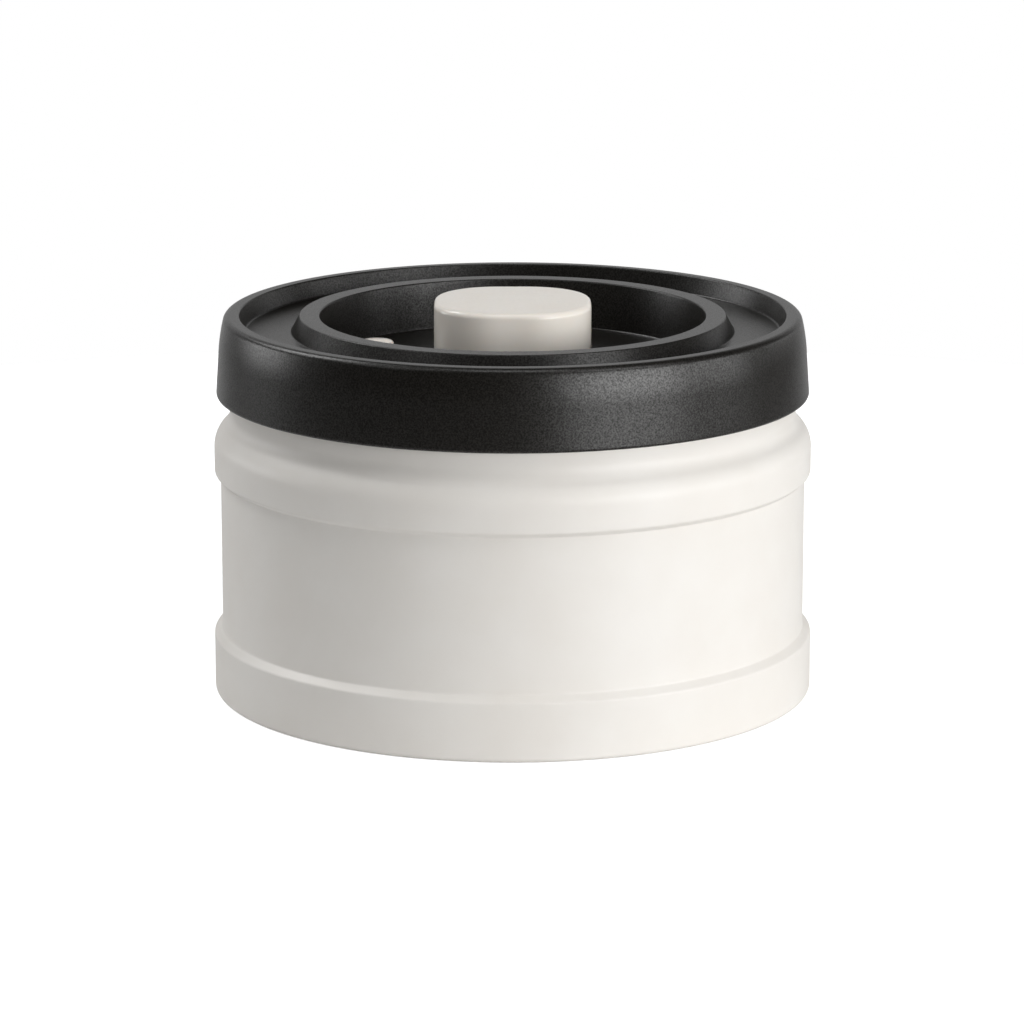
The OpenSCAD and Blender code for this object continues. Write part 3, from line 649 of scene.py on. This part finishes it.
def squareLoop(half, corner, z, centre=(0, 0), steps=14):
    # A square with round corners, as points in metres; each side has supports by its corners
    core = half - corner
    support = min(0.5, core / 3)
    points = []
    for k, (sx, sy) in enumerate(((1, 1), (-1, 1), (-1, -1), (1, -1))):
        turn = 90 * k
        around = arc((sx * core, sy * core), corner, turn, turn + 90, steps)
        along = Vector((math.cos(math.radians(turn + 90)), math.sin(math.radians(turn + 90)), 0))
        ahead = Vector((-along.y, along.x, 0))
        last = Vector((*around[-1], 0))
        points += [Vector((*p, 0)) for p in around]
        points += [last + ahead * support, last + ahead * (2 * core - support)]
    return [(Vector((centre[0], centre[1], 0)) + p + Vector((0, 0, z))) * mm for p in points]


def roundLoop(radius, z, centre=(0, 0), count=48):
    return [Vector((centre[0] + x, centre[1] + y, z)) * mm for x, y in arc((0, 0), radius, 0, 360, count)[:-1]]


def loft(work, loops):
    # Joins closed loops of as many points each with rows of quads
    rings = [[work.verts.new(p) for p in loop] for loop in loops]
    for low, high in zip(rings, rings[1:]):
        for i in range(len(low)):
            j = (i + 1) % len(low)
            work.faces.new((low[i], low[j], high[j], high[i]))
    return rings


def flatFill(work, outer, holes):
    # Fills a flat face between one outer loop and the holes in it
    loops = [outer] + holes
    points, edges = [], []
    for loop in loops:
        start = len(points)
        points += [p.xy for p in loop]
        edges += [(start + i, start + (i + 1) % len(loop)) for i in range(len(loop))]
    verts, _, faces, *_ = delaunay_2d_cdt(points, edges, [], 0, 1e-9)
    made = [work.verts.new((v.x, v.y, outer[0].z)) for v in verts]

    def inside(loop, x, y):
        odd = False
        for a, b in zip(loop, loop[1:] + loop[:1]):
            if (a.y > y) != (b.y > y) and x < a.x + (y - a.y) * (b.x - a.x) / (b.y - a.y):
                odd = not odd
        return odd

    for face in faces:
        x = sum(verts[i].x for i in face) / len(face)
        y = sum(verts[i].y for i in face) / len(face)
        if inside(outer, x, y) and not any(inside(hole, x, y) for hole in holes):
            work.faces.new([made[i] for i in face])


def holeLoops(makeLoop, top, bottom, edge):
    # A hole's loops from the flat above it, over its rounded edge, down to the flat below
    flat = 2 * edge
    path = [(flat, top)] + [(edge + x, top - edge + z) for x, z in arc((0, 0), edge, 90, 180, 5)]
    path += [(0, top - 2 * edge), (0, bottom + edge), (edge / 3, bottom), (flat, bottom)]
    return [makeLoop(out, z) for out, z in path]


def makeLid(size, buttonHalf, buttonRound, capR, capX):
    skirtR = reach("lid_cover")
    rimZ = levels("lid_cover")[1]
    innerR = 36.0
    points, wellZ, floorUnder = lidOutline(size, skirtR, rimZ, innerR)
    ring = spun("lidShell", points, blackPlastic, size["segments"])
    work = bmesh.new()
    work.from_mesh(ring.data)
    gap = size["holeGap"]

    def buttonHole(out, z):
        return squareLoop(buttonHalf + gap + out, buttonRound + gap + out, z)

    def capHole(out, z):
        return roundLoop(capR + gap + out, z, (capX, 0))

    sleeves = [holeLoops(hole, wellZ, floorUnder, size["holeEdge"]) for hole in (buttonHole, capHole)]
    for sleeve in sleeves:
        loft(work, sleeve)
    for z, end in ((wellZ, 0), (floorUnder, -1)):
        flatFill(work, roundLoop(innerR, z, count=size["segments"]), [sleeve[end] for sleeve in sleeves])
    bmesh.ops.remove_doubles(work, verts=work.verts, dist=2e-6)
    work.to_mesh(ring.data)
    work.free()
    tidyMesh(ring)
    settle(ring, "lid", "lid_black", "lid_cover")
    return ring


button = {
    "lip": 1.4,
    "lipHeight": 2.5,
    "corner": 13.0,
    "edge": 1.1,
    "crown": 0.3,
    "wall": 1.8,
    "topWall": 2.2,
    "rodR": 4.5,
    "boreR": 1.3,
}

cap = {
    "lip": 1.25,
    "lipHeight": 1.6,
    "edge": 0.7,
    "dome": 0.35,
    "boreR": 1.55,
    "boreTop": 5.5,
}

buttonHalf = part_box("pump_button")[1].x / mm - button["lip"]
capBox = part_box("release_cap")
capX = (capBox[0].x + capBox[1].x) / 2 / mm
capR = (capBox[1].x - capBox[0].x) / 2 / mm - cap["lip"]
makeLid(lid, buttonHalf, button["corner"], capR, capX)
print("lid cover made")


# Button: a soft square with a faint crown, hollow below, with a lip that keeps it in the lid

def makeButton(size, half):
    bottom, top = levels("pump_button")
    rodEnd = levels("piston")[1]
    corner, edge, crown = size["corner"], size["edge"], size["crown"]
    inHalf, inCorner = half - size["wall"], corner - size["wall"]
    under = top - size["topWall"]
    lipTop = bottom + size["lipHeight"]
    path = [(0.0001, 0.0001, top)]
    flat = half - edge
    for k in range(1, 9):
        share = k / 8
        inset = edge + flat * (1 - share)
        path.append((half - inset, max(corner - edge, 0) * share, top - crown * share ** 2))
    rounding = arc((-edge, -edge), edge, 90, 0, 10)[1:]
    path += [(half + x, corner + x, top - crown + z) for x, z in rounding]
    path += [(half, corner, top - crown - edge - 0.3), (half, corner, lipTop + 0.3), (half, corner, lipTop)]
    lip = size["lip"]
    path += [(half + lip - 0.2, corner + lip - 0.2, lipTop), (half + lip, corner + lip, lipTop - 0.2)]
    path += [(half + lip, corner + lip, bottom + 0.2), (half + lip - 0.2, corner + lip - 0.2, bottom)]
    path += [(inHalf, inCorner, bottom), (inHalf, inCorner, under), (0.0001, 0.0001, under)]
    work = bmesh.new()
    rings = loft(work, [squareLoop(h, r, z) for h, r, z in path])
    bmesh.ops.remove_doubles(work, verts=rings[0] + rings[-1], dist=1e-6)
    mesh = bpy.data.meshes.new("buttonShell")
    work.to_mesh(mesh)
    work.free()
    shell = bpy.data.objects.new("buttonShell", mesh)
    bpy.context.scene.collection.objects.link(shell)
    mesh.materials.append(offWhitePlastic)
    rod = [(size["boreR"], under - 0.01), (size["rodR"], under - 0.01), (size["rodR"], rodEnd), (size["boreR"], rodEnd)]
    rod = spun("buttonRod", rod + rod[:1], offWhitePlastic, 48)
    joinPieces(shell, rod)
    tidyMesh(shell, 50)
    settle(shell, "pump", "button_white", "pump_button")
    return shell


def joinPieces(kept, *others):
    # Adds the meshes of the other objects to the kept one
    work = bmesh.new()
    for obj in (kept, *others):
        work.from_mesh(obj.data)
    work.to_mesh(kept.data)
    work.free()
    for obj in others:
        bpy.data.objects.remove(obj)


makeButton(button, buttonHalf)
print("button made")


# Release cap: a small round button with a lip, on its stem

def moved(obj, x):
    for vertex in obj.data.vertices:
        vertex.co.x += x * mm
    return obj


def makeCap(size, radius, x):
    bottom, top = levels("release_cap")
    lipR = radius + size["lip"]
    lipTop = bottom + size["lipHeight"]
    corners = [
        (size["boreR"], bottom, 0),
        (lipR, bottom, 0.2),
        (lipR, lipTop, 0.2),
        (radius, lipTop, 0),
        (radius, top - size["dome"], size["edge"]),
        (radius * 0.6, top - size["dome"] * 0.36, 0),
        (radius * 0.3, top - size["dome"] * 0.09, 0),
        (0, top, 0),
        (0, bottom + size["boreTop"], 0),
        (size["boreR"], bottom + size["boreTop"], 0),
    ]
    piece = moved(spun("capShell", roundedPath(corners, closed=True), offWhitePlastic, 64), x)
    settle(piece, "release", "button_white", "release_cap")
    return piece


makeCap(cap, capR, capX)
print("release cap made")


# Gasket: a silicone ring with two soft lips

gasket = {
    "back": 1.5,
    "lip": 0.7,
    "segments": 240,
}


def makeGasket(size):
    low, high = levels("lid_gasket")
    tip = reach("lid_gasket")
    inner = min(math.hypot(v.co.x, v.co.y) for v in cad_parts["lid_gasket"].data.vertices) / mm
    back = inner + size["back"]
    height = high - low
    lip = size["lip"]
    corners = [
        (inner, low, 0.15),
        (tip - lip, low, 0.2),
        (tip - lip / 2, low + lip, 0.25),
        (back, low + height * 0.3, 0.25),
        (back, low + height * 0.5, 0.25),
        (tip, low + height * 0.58, 0.2),
        (tip, low + height * 0.72, 0.2),
        (back, low + height * 0.85, 0.25),
        (back, high, 0.15),
        (inner, high, 0.15),
    ]
    piece = spun("gasketRing", roundedPath(corners, closed=True), silicone, size["segments"])
    settle(piece, "lid", "silicone", "lid_gasket")
    return piece


makeGasket(gasket)
print("gasket made")


# Springs: wire wound on a rule, half a turn flat at each end

springs = {
    "pump_spring": {"name": "pumpSpringWire", "wire": 1.0, "turns": 8, "joint": "pump_press", "stroke": 8.5},
    "release_spring": {"name": "releaseSpringWire", "wire": 0.5, "turns": 6, "joint": "release_press", "stroke": 2.0},
}


def coilTree():
    # A line becomes a helix by its factor along itself, and a round wire follows it
    sockets = {"Base": "Geometry", "Radius": "Float", "Wire": "Float", "Low": "Float", "High": "Float",
               "Turns": "Float", "Centre": "Vector", "Material": "Material"}
    tree, given = newTree("woundSpring", sockets)

    def maths(operation, *inputs):
        values = {i: x for i, x in enumerate(inputs) if isinstance(x, (int, float))}
        links = {i: x for i, x in enumerate(inputs) if not isinstance(x, (int, float))}
        return addNode(tree, "ShaderNodeMath", {"operation": operation}, values, links).outputs[0]

    line = addNode(tree, "GeometryNodeCurvePrimitiveLine")
    count = maths("MULTIPLY", given["Turns"], 40)
    dense = addNode(tree, "GeometryNodeResampleCurve", links={"Curve": line.outputs[0], "Count": count})
    factor = addNode(tree, "GeometryNodeSplineParameter").outputs["Factor"]
    turned = maths("MULTIPLY", factor, given["Turns"])
    angle = maths("MULTIPLY", turned, 2 * math.pi)
    rise = maths("DIVIDE", maths("SUBTRACT", turned, 0.5), maths("SUBTRACT", given["Turns"], 1))
    climb = maths("MAXIMUM", maths("MINIMUM", rise, 1), 0)
    height = maths("MULTIPLY_ADD", climb, maths("SUBTRACT", given["High"], given["Low"]), given["Low"])
    x = maths("MULTIPLY", maths("COSINE", angle), given["Radius"])
    y = maths("MULTIPLY", maths("SINE", angle), given["Radius"])
    point = addNode(tree, "ShaderNodeCombineXYZ", links={0: x, 1: y, 2: height}).outputs[0]
    placed = addNode(tree, "ShaderNodeVectorMath", {"operation": "ADD"}, links={0: point, 1: given["Centre"]})
    helix = addNode(tree, "GeometryNodeSetPosition",
                    links={"Geometry": dense.outputs[0], "Position": placed.outputs[0]})
    section = addNode(tree, "GeometryNodeCurvePrimitiveCircle", values={"Resolution": 12},
                      links={"Radius": maths("DIVIDE", given["Wire"], 2)})
    wire = addNode(tree, "GeometryNodeCurveToMesh", values={"Fill Caps": True},
                   links={"Curve": helix.outputs[0], "Profile Curve": section.outputs[0]})
    closeTree(tree, wire.outputs[0], given["Material"])
    return tree


coil = coilTree()


def makeSpring(node, size):
    low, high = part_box(node)
    half = size["wire"] / 2 * mm
    centre = (low + high) / 2
    radius = (high.x - low.x) / 2 - half
    values = {"Radius": radius, "Wire": size["wire"] * mm, "Low": low.z + half, "High": high.z - half,
              "Turns": float(size["turns"]), "Centre": (round(centre.x, 4), 0, 0), "Material": zincSteel}
    piece = tidyMesh(grow(size["name"], coil, values, bpy.data.meshes.new(node)), 60)
    settle(piece, "lid", "steel", node)
    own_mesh(piece)
    return piece


for node, size in springs.items():
    makeSpring(node, size)
print("springs made")


# Screws: one turned blank with a cross recess, repeated round the axis

screwRows = {
    "cover_screws": {
        "name": "coverScrewRow", "count": 6, "start": 0, "headUp": False, "head": 2.7, "headHeight": 2.0,
        "shank": 1.5, "pitch": 1.1, "slot": 0.8, "slotLength": 4.3, "slotDepth": 1.2, "countersunk": False,
    },
    "cylinder_screws": {
        "name": "cylinderScrewRow", "count": 4, "start": 45, "headUp": True, "head": 2.2, "headHeight": 1.3,
        "shank": 1.0, "pitch": 0.8, "slot": 0.6, "slotLength": 2.2, "slotDepth": 0.65, "countersunk": True,
    },
}


def screwTree():
    # The blank is spun, two bars cut its recess, and copies stand on the corners of a circle
    sockets = {"Outline": "Geometry", "Segments": "Int", "Slot": "Vector", "Slot Height": "Float",
               "Count": "Int", "Row Radius": "Float", "Start": "Float", "Material": "Material"}
    tree, given = newTree("screwRow", sockets)
    blank = addNode(tree, "GeometryNodeGroup", {"node_tree": spin},
                    links={name: given[name] for name in ("Outline", "Segments", "Material")})
    bar = addNode(tree, "GeometryNodeMeshCube", links={"Size": given["Slot"]})
    height = addNode(tree, "ShaderNodeCombineXYZ", links={2: given["Slot Height"]})
    bars = [addNode(tree, "GeometryNodeTransform", values={"Rotation": (0, 0, turn)},
                    links={"Geometry": bar.outputs[0], "Translation": height.outputs[0]})
            for turn in (0, math.pi / 2)]
    cut = addNode(tree, "GeometryNodeMeshBoolean", {"operation": "DIFFERENCE", "solver": "EXACT"},
                  links={"Mesh 1": blank.outputs[0]})
    for cutter in bars:
        tree.links.new(cutter.outputs[0], cut.inputs["Mesh 2"])
    row = addNode(tree, "GeometryNodeMeshCircle", links={"Vertices": given["Count"], "Radius": given["Row Radius"]})
    index = addNode(tree, "GeometryNodeInputIndex").outputs[0]
    share = addNode(tree, "ShaderNodeMath", {"operation": "DIVIDE"}, links={0: index, 1: given["Count"]})
    turn = addNode(tree, "ShaderNodeMath", {"operation": "MULTIPLY"}, {1: 2 * math.pi}, {0: share.outputs[0]})
    spot = addNode(tree, "ShaderNodeCombineXYZ", links={2: turn.outputs[0]})
    copies = addNode(tree, "GeometryNodeInstanceOnPoints",
                     links={"Points": row.outputs[0], "Instance": cut.outputs[0], "Rotation": spot.outputs[0]})
    around = addNode(tree, "ShaderNodeCombineXYZ", links={2: given["Start"]})
    turned = addNode(tree, "GeometryNodeTransform",
                     links={"Geometry": copies.outputs[0], "Rotation": around.outputs[0]})
    closeTree(tree, turned.outputs[0], given["Material"])
    return tree


screwRow = screwTree()


def screwOutline(size, low, high):
    # Half of a screw from the middle of its head over the head, the thread and the tip
    length, shank, head = high - low, size["shank"], size["head"]
    if size["countersunk"]:
        points = [(0, 0), (head - 0.1, 0), (head, 0.1), (shank, size["headHeight"])]
    else:
        points = [(0, 0)] + arc((head - 0.4, 0.4), 0.4, -90, 0, 5)
        points += [(head, size["headHeight"] - 0.1), (head - 0.1, size["headHeight"]), (shank, size["headHeight"])]
    root = shank * 0.8
    at = size["headHeight"] + 0.6
    while at + size["pitch"] < length - 0.5:
        points += [(root, at), (root, at + 0.3 * size["pitch"]), (shank, at + 0.6 * size["pitch"])]
        at += size["pitch"]
    points += [(root, at), (root, length - 0.4), (root * 0.6, length), (0, length)]
    return [(r, high - z) for r, z in points] if size["headUp"] else [(r, low + z) for r, z in points]


def makeScrewRow(node, size):
    low, high = levels(node)
    reachOut = reach(node) - size["head"]
    depth = size["slotDepth"]
    at = high - depth / 2 if size["headUp"] else low + depth / 2
    values = {"Segments": 32, "Slot": (size["slotLength"] * mm, size["slot"] * mm, (depth + 0.02) * mm),
              "Slot Height": (at + (0.01 if size["headUp"] else -0.01)) * mm, "Count": size["count"],
              "Row Radius": reachOut * mm, "Start": math.radians(size["start"]), "Material": zincSteel}
    base = polyline(size["name"], screwOutline(size, low, high))
    piece = tidyMesh(grow(size["name"], screwRow, values, base), 30)
    settle(piece, "lid", "steel", node)


for node, size in screwRows.items():
    makeScrewRow(node, size)
print("screws made")


# Grille: the filter's clip-on cover, with round holes in a hexagonal field

grille = {
    "wall": 1.4,
    "plate": 1.2,
    "edge": 1.0,
    "rim": 0.3,
    "hole": 0.7,
    "pitch": 3.0,
    "rows": 5,
    "field": 12.6,
    "segments": 144,
}


def grilleTree():
    sockets = {"Outline": "Geometry", "Segments": "Int", "Rows": "Int", "Pitch": "Float", "Field": "Float",
               "Hole": "Float", "Depth": "Float", "Middle": "Float", "Material": "Material"}
    tree, given = newTree("grille", sockets)
    dish = addNode(tree, "GeometryNodeGroup", {"node_tree": spin},
                   links={name: given[name] for name in ("Outline", "Segments", "Material")})

    def whole(operation, first, second):
        links = {i: x for i, x in enumerate((first, second)) if not isinstance(x, int)}
        values = {i: x for i, x in enumerate((first, second)) if isinstance(x, int)}
        return addNode(tree, "FunctionNodeIntegerMath", {"operation": operation}, values, links).outputs[0]

    def maths(operation, first, second):
        links = {i: x for i, x in enumerate((first, second)) if not isinstance(x, float)}
        values = {i: x for i, x in enumerate((first, second)) if isinstance(x, float)}
        return addNode(tree, "ShaderNodeMath", {"operation": operation}, values, links).outputs[0]

    count = whole("ADD", whole("MULTIPLY", given["Rows"], 2), 1)
    wide = maths("MULTIPLY", whole("MULTIPLY", given["Rows"], 2), given["Pitch"])
    deep = maths("MULTIPLY", wide, math.sin(math.radians(60)))
    grid = addNode(tree, "GeometryNodeMeshGrid",
                   links={"Size X": wide, "Size Y": deep, "Vertices X": count, "Vertices Y": count})
    line = whole("MODULO", addNode(tree, "GeometryNodeInputIndex").outputs[0], count)
    odd = whole("MODULO", whole("ADD", line, given["Rows"]), 2)
    shift = maths("MULTIPLY", maths("MULTIPLY", odd, 0.5), given["Pitch"])
    aside = addNode(tree, "ShaderNodeCombineXYZ", links={0: shift, 2: given["Middle"]})
    field = addNode(tree, "GeometryNodeSetPosition", links={"Geometry": grid.outputs[0], "Offset": aside.outputs[0]})
    parts = addNode(tree, "ShaderNodeSeparateXYZ",
                    links={0: addNode(tree, "GeometryNodeInputPosition").outputs[0]}).outputs
    across = maths("SQRT", maths("ADD", maths("MULTIPLY", parts[0], parts[0]),
                                 maths("MULTIPLY", parts[1], parts[1])), 0.0)
    near = maths("LESS_THAN", across, maths("ADD", given["Field"], 1e-5))
    pin = addNode(tree, "GeometryNodeMeshCylinder", values={"Vertices": 20},
                  links={"Radius": given["Hole"], "Depth": given["Depth"]})
    pins = addNode(tree, "GeometryNodeInstanceOnPoints",
                   links={"Points": field.outputs[0], "Selection": near, "Instance": pin.outputs[0]})
    real = addNode(tree, "GeometryNodeRealizeInstances", links={0: pins.outputs[0]})
    cut = addNode(tree, "GeometryNodeMeshBoolean", {"operation": "DIFFERENCE", "solver": "EXACT"},
                  links={"Mesh 1": dish.outputs[0], "Mesh 2": real.outputs[0]})
    closeTree(tree, cut.outputs[0], given["Material"])
    return tree


def makeGrille(size):
    low, high = levels("filter_cover")
    outer = reach("filter_cover")
    inner = outer - size["wall"]
    top = low + size["plate"]
    corners = [(0, low, 0), (outer, low, size["edge"]), (outer, high, size["rim"]), (inner, high, 0.2),
               (inner, top, 0.3), (0, top, 0)]
    values = {"Segments": size["segments"], "Rows": size["rows"], "Pitch": size["pitch"] * mm,
              "Field": size["field"] * mm, "Hole": size["hole"] * mm, "Depth": (size["plate"] + 1) * mm,
              "Middle": (low + top) / 2 * mm, "Material": blackPlastic}
    base = polyline("filterGrille", withSupports(roundedPath(corners)))
    piece = tidyMesh(grow("filterGrille", grilleTree(), values, base), 30)
    settle(piece, "lid", "base_black", "filter_cover")


makeGrille(grille)
print("grille made")


# The nodes that keep their CAD shape take their finish here

finishes = {
    "lid_base": blackPlastic,
    "piston": greyPlastic,
    "piston_seal": silicone,
    "piston_screw": zincSteel,
    "pump_cylinder": greyPlastic,
    "cylinder_seal": silicone,
    "intake_valve": silicone,
    "dust_filter": felt,
    "release_stem": greyPlastic,
    "release_seal": silicone,
    "release_keeper": greyPlastic,
}

for node, material in finishes.items():
    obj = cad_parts[node]
    obj.data.materials.clear()
    obj.data.materials.append(material)
print("frame nodes finished:", len(finishes))


# Stage: a pale floor that keeps the shadow, and a white background

stage = {
    "floorRadius": 0.36,
    "floorGap": 0.03,       # mm between the foot and the paper
    "floorColour": "#e7e7e7",
    "floorShade": "#e4e4e4",
    "floorGlow": 0.75,      # brings the lit floor to white, and leaves the shadow a little darker
    "mirroredGlow": 0.0,
    "ambient": 0.07,
}


def seenRays(tree):
    # 1 for rays that see the background itself: from the camera, a reflection or clear glass
    path = addNode(tree, "ShaderNodeLightPath")
    clear = addNode(tree, "ShaderNodeMath", {"operation": "MAXIMUM"},
                    links={0: path.outputs["Is Glossy Ray"], 1: path.outputs["Is Transmission Ray"]})
    return path.outputs["Is Camera Ray"], clear.outputs[0]


def makeFloor(size):
    # Matt paper: it keeps the shadow, has a glow that only the background's rays see, and is clear from below
    material, tree, shader = newSurface("mattStudioPaper", {"Roughness": 1.0, "Specular IOR Level": 0.0})
    shade = grain(tree, objectPlace(tree), 40, 3)
    colour = blendColours(tree, spread(tree, shade, 0, 1), size["floorColour"], size["floorShade"])
    tree.links.new(colour, shader.inputs["Base Color"])
    seen, clear = seenRays(tree)
    mirrored = addNode(tree, "ShaderNodeMath", {"operation": "MULTIPLY"}, {1: size["mirroredGlow"]}, {0: clear})
    glow = addNode(tree, "ShaderNodeMath", {"operation": "MULTIPLY_ADD"}, {1: size["floorGlow"]},
                   {0: seen, 2: mirrored.outputs[0]})
    shader.inputs["Emission Color"].default_value = (1, 1, 1, 1)
    tree.links.new(glow.outputs[0], shader.inputs["Emission Strength"])
    above = addNode(tree, "ShaderNodeMath", {"operation": "SUBTRACT"}, {0: 1.0},
                    {1: addNode(tree, "ShaderNodeNewGeometry").outputs["Backfacing"]})
    tree.links.new(above.outputs[0], shader.inputs["Alpha"])
    mesh = bpy.data.meshes.new("floor")
    rim = roundLoop(size["floorRadius"] / mm, -size["floorGap"], count=96)
    mesh.from_pydata(rim, [], [list(range(len(rim)))])
    mesh.materials.append(material)
    floor = bpy.data.objects.new("floor", mesh)
    bpy.context.scene.collection.objects.link(floor)


def makeWorld(size):
    # White to the camera all round; a reflection sees it white behind the object and dim in front
    world = bpy.data.worlds.new("studio")
    bpy.context.scene.world = world
    world.use_nodes = True
    tree = world.node_tree
    tree.nodes.clear()
    seen, clear = seenRays(tree)
    way = addNode(tree, "ShaderNodeTexCoord").outputs["Generated"]
    parts = addNode(tree, "ShaderNodeSeparateXYZ", links={0: way})
    behind = spread(tree, parts.outputs["Y"], 0, 0.65, 0.72, 0.96)
    mirrored = addNode(tree, "ShaderNodeMath", {"operation": "MULTIPLY"}, links={0: clear, 1: behind})
    white = addNode(tree, "ShaderNodeMath", {"operation": "MAXIMUM"}, links={0: seen, 1: mirrored.outputs[0]})
    light = addNode(tree, "ShaderNodeBackground", values={"Color": (1, 1, 1, 1)},
                    links={"Strength": spread(tree, white.outputs[0], size["ambient"], 1, 0, 1)})
    addNode(tree, "ShaderNodeOutputWorld", links={"Surface": light.outputs[0]})


makeFloor(stage)
makeWorld(stage)


# Lamps: soft boxes round the object, by direction and distance from its middle

lamps = {
    "key": {"azimuth": 44, "elevation": 8, "distance": 1.1, "width": 0.9, "height": 0.34, "power": 7.6},
    "side": {"azimuth": 86, "elevation": 8, "distance": 1.1, "width": 0.5, "height": 0.34, "power": 1.8},
    "over": {"azimuth": 50, "elevation": 45, "distance": 1.1, "width": 0.5, "height": 0.5, "power": 2.4},
    "rim": {"azimuth": -120, "elevation": 45, "distance": 1.1, "width": 0.5, "height": 0.5, "power": 4.2},
    "low": {"azimuth": -110, "elevation": 8, "distance": 1.1, "width": 0.5, "height": 0.3, "power": 1.9},
    "edge": {"azimuth": 125, "elevation": 8, "distance": 1.1, "width": 0.5, "height": 0.3, "power": 0.4},
    "fill": {"azimuth": -60, "elevation": 50, "distance": 1.1, "width": 0.5, "height": 0.5, "power": 0.7},
    "front": {"azimuth": 0, "elevation": 76, "distance": 1.1, "width": 0.5, "height": 0.5, "power": 2.0},
}


def direction(azimuth, elevation):
    # Azimuth 0 points at the viewer, 90 to the right
    a, e = math.radians(azimuth), math.radians(elevation)
    return Vector((math.sin(a) * math.cos(e), -math.cos(a) * math.cos(e), math.sin(e)))


def makeLamp(name, size, middle):
    data = bpy.data.lights.new(name, "AREA")
    data.shape = "RECTANGLE"
    data.size = size["width"]
    data.size_y = size["height"]
    data.energy = size["power"]
    lamp = bpy.data.objects.new(name, data)
    bpy.context.scene.collection.objects.link(lamp)
    out = direction(size["azimuth"], size["elevation"])
    lamp.location = middle + out * size["distance"]
    lamp.rotation_euler = out.to_track_quat("Z", "Y").to_euler()


middle = (cadBox[0] + cadBox[1]) / 2
for name, size in lamps.items():
    makeLamp(name, size, middle)
print("stage and lamps made")


# Camera: low and far, as the photograph was taken

camera = {
    "lens": 168.0,
    "distance": 983.6,      # mm from the point aimed at
    "elevation": 13.08,
    "aim": (-0.14, 0, 36.07),
    "pivot": 36.9,
    "roll": 0.0,
}


def makeCamera(size):
    data = bpy.data.cameras.new("camera")
    data.lens = size["lens"]
    data.clip_start = 0.05
    data.clip_end = 20
    view = bpy.data.objects.new("camera", data)
    bpy.context.scene.collection.objects.link(view)
    view.location = (Vector((0, 0, size["pivot"])) + direction(0, size["elevation"]) * size["distance"]) * mm
    ahead = Vector(size["aim"]) * mm - view.location
    turn = ahead.to_track_quat("-Z", "Y").to_matrix()
    view.rotation_euler = turn.to_euler()
    view.rotation_euler.rotate_axis("Z", math.radians(size["roll"]))
    bpy.context.scene.camera = view


makeCamera(camera)
bpy.context.scene.view_settings.view_transform = "Standard"
print("camera made")
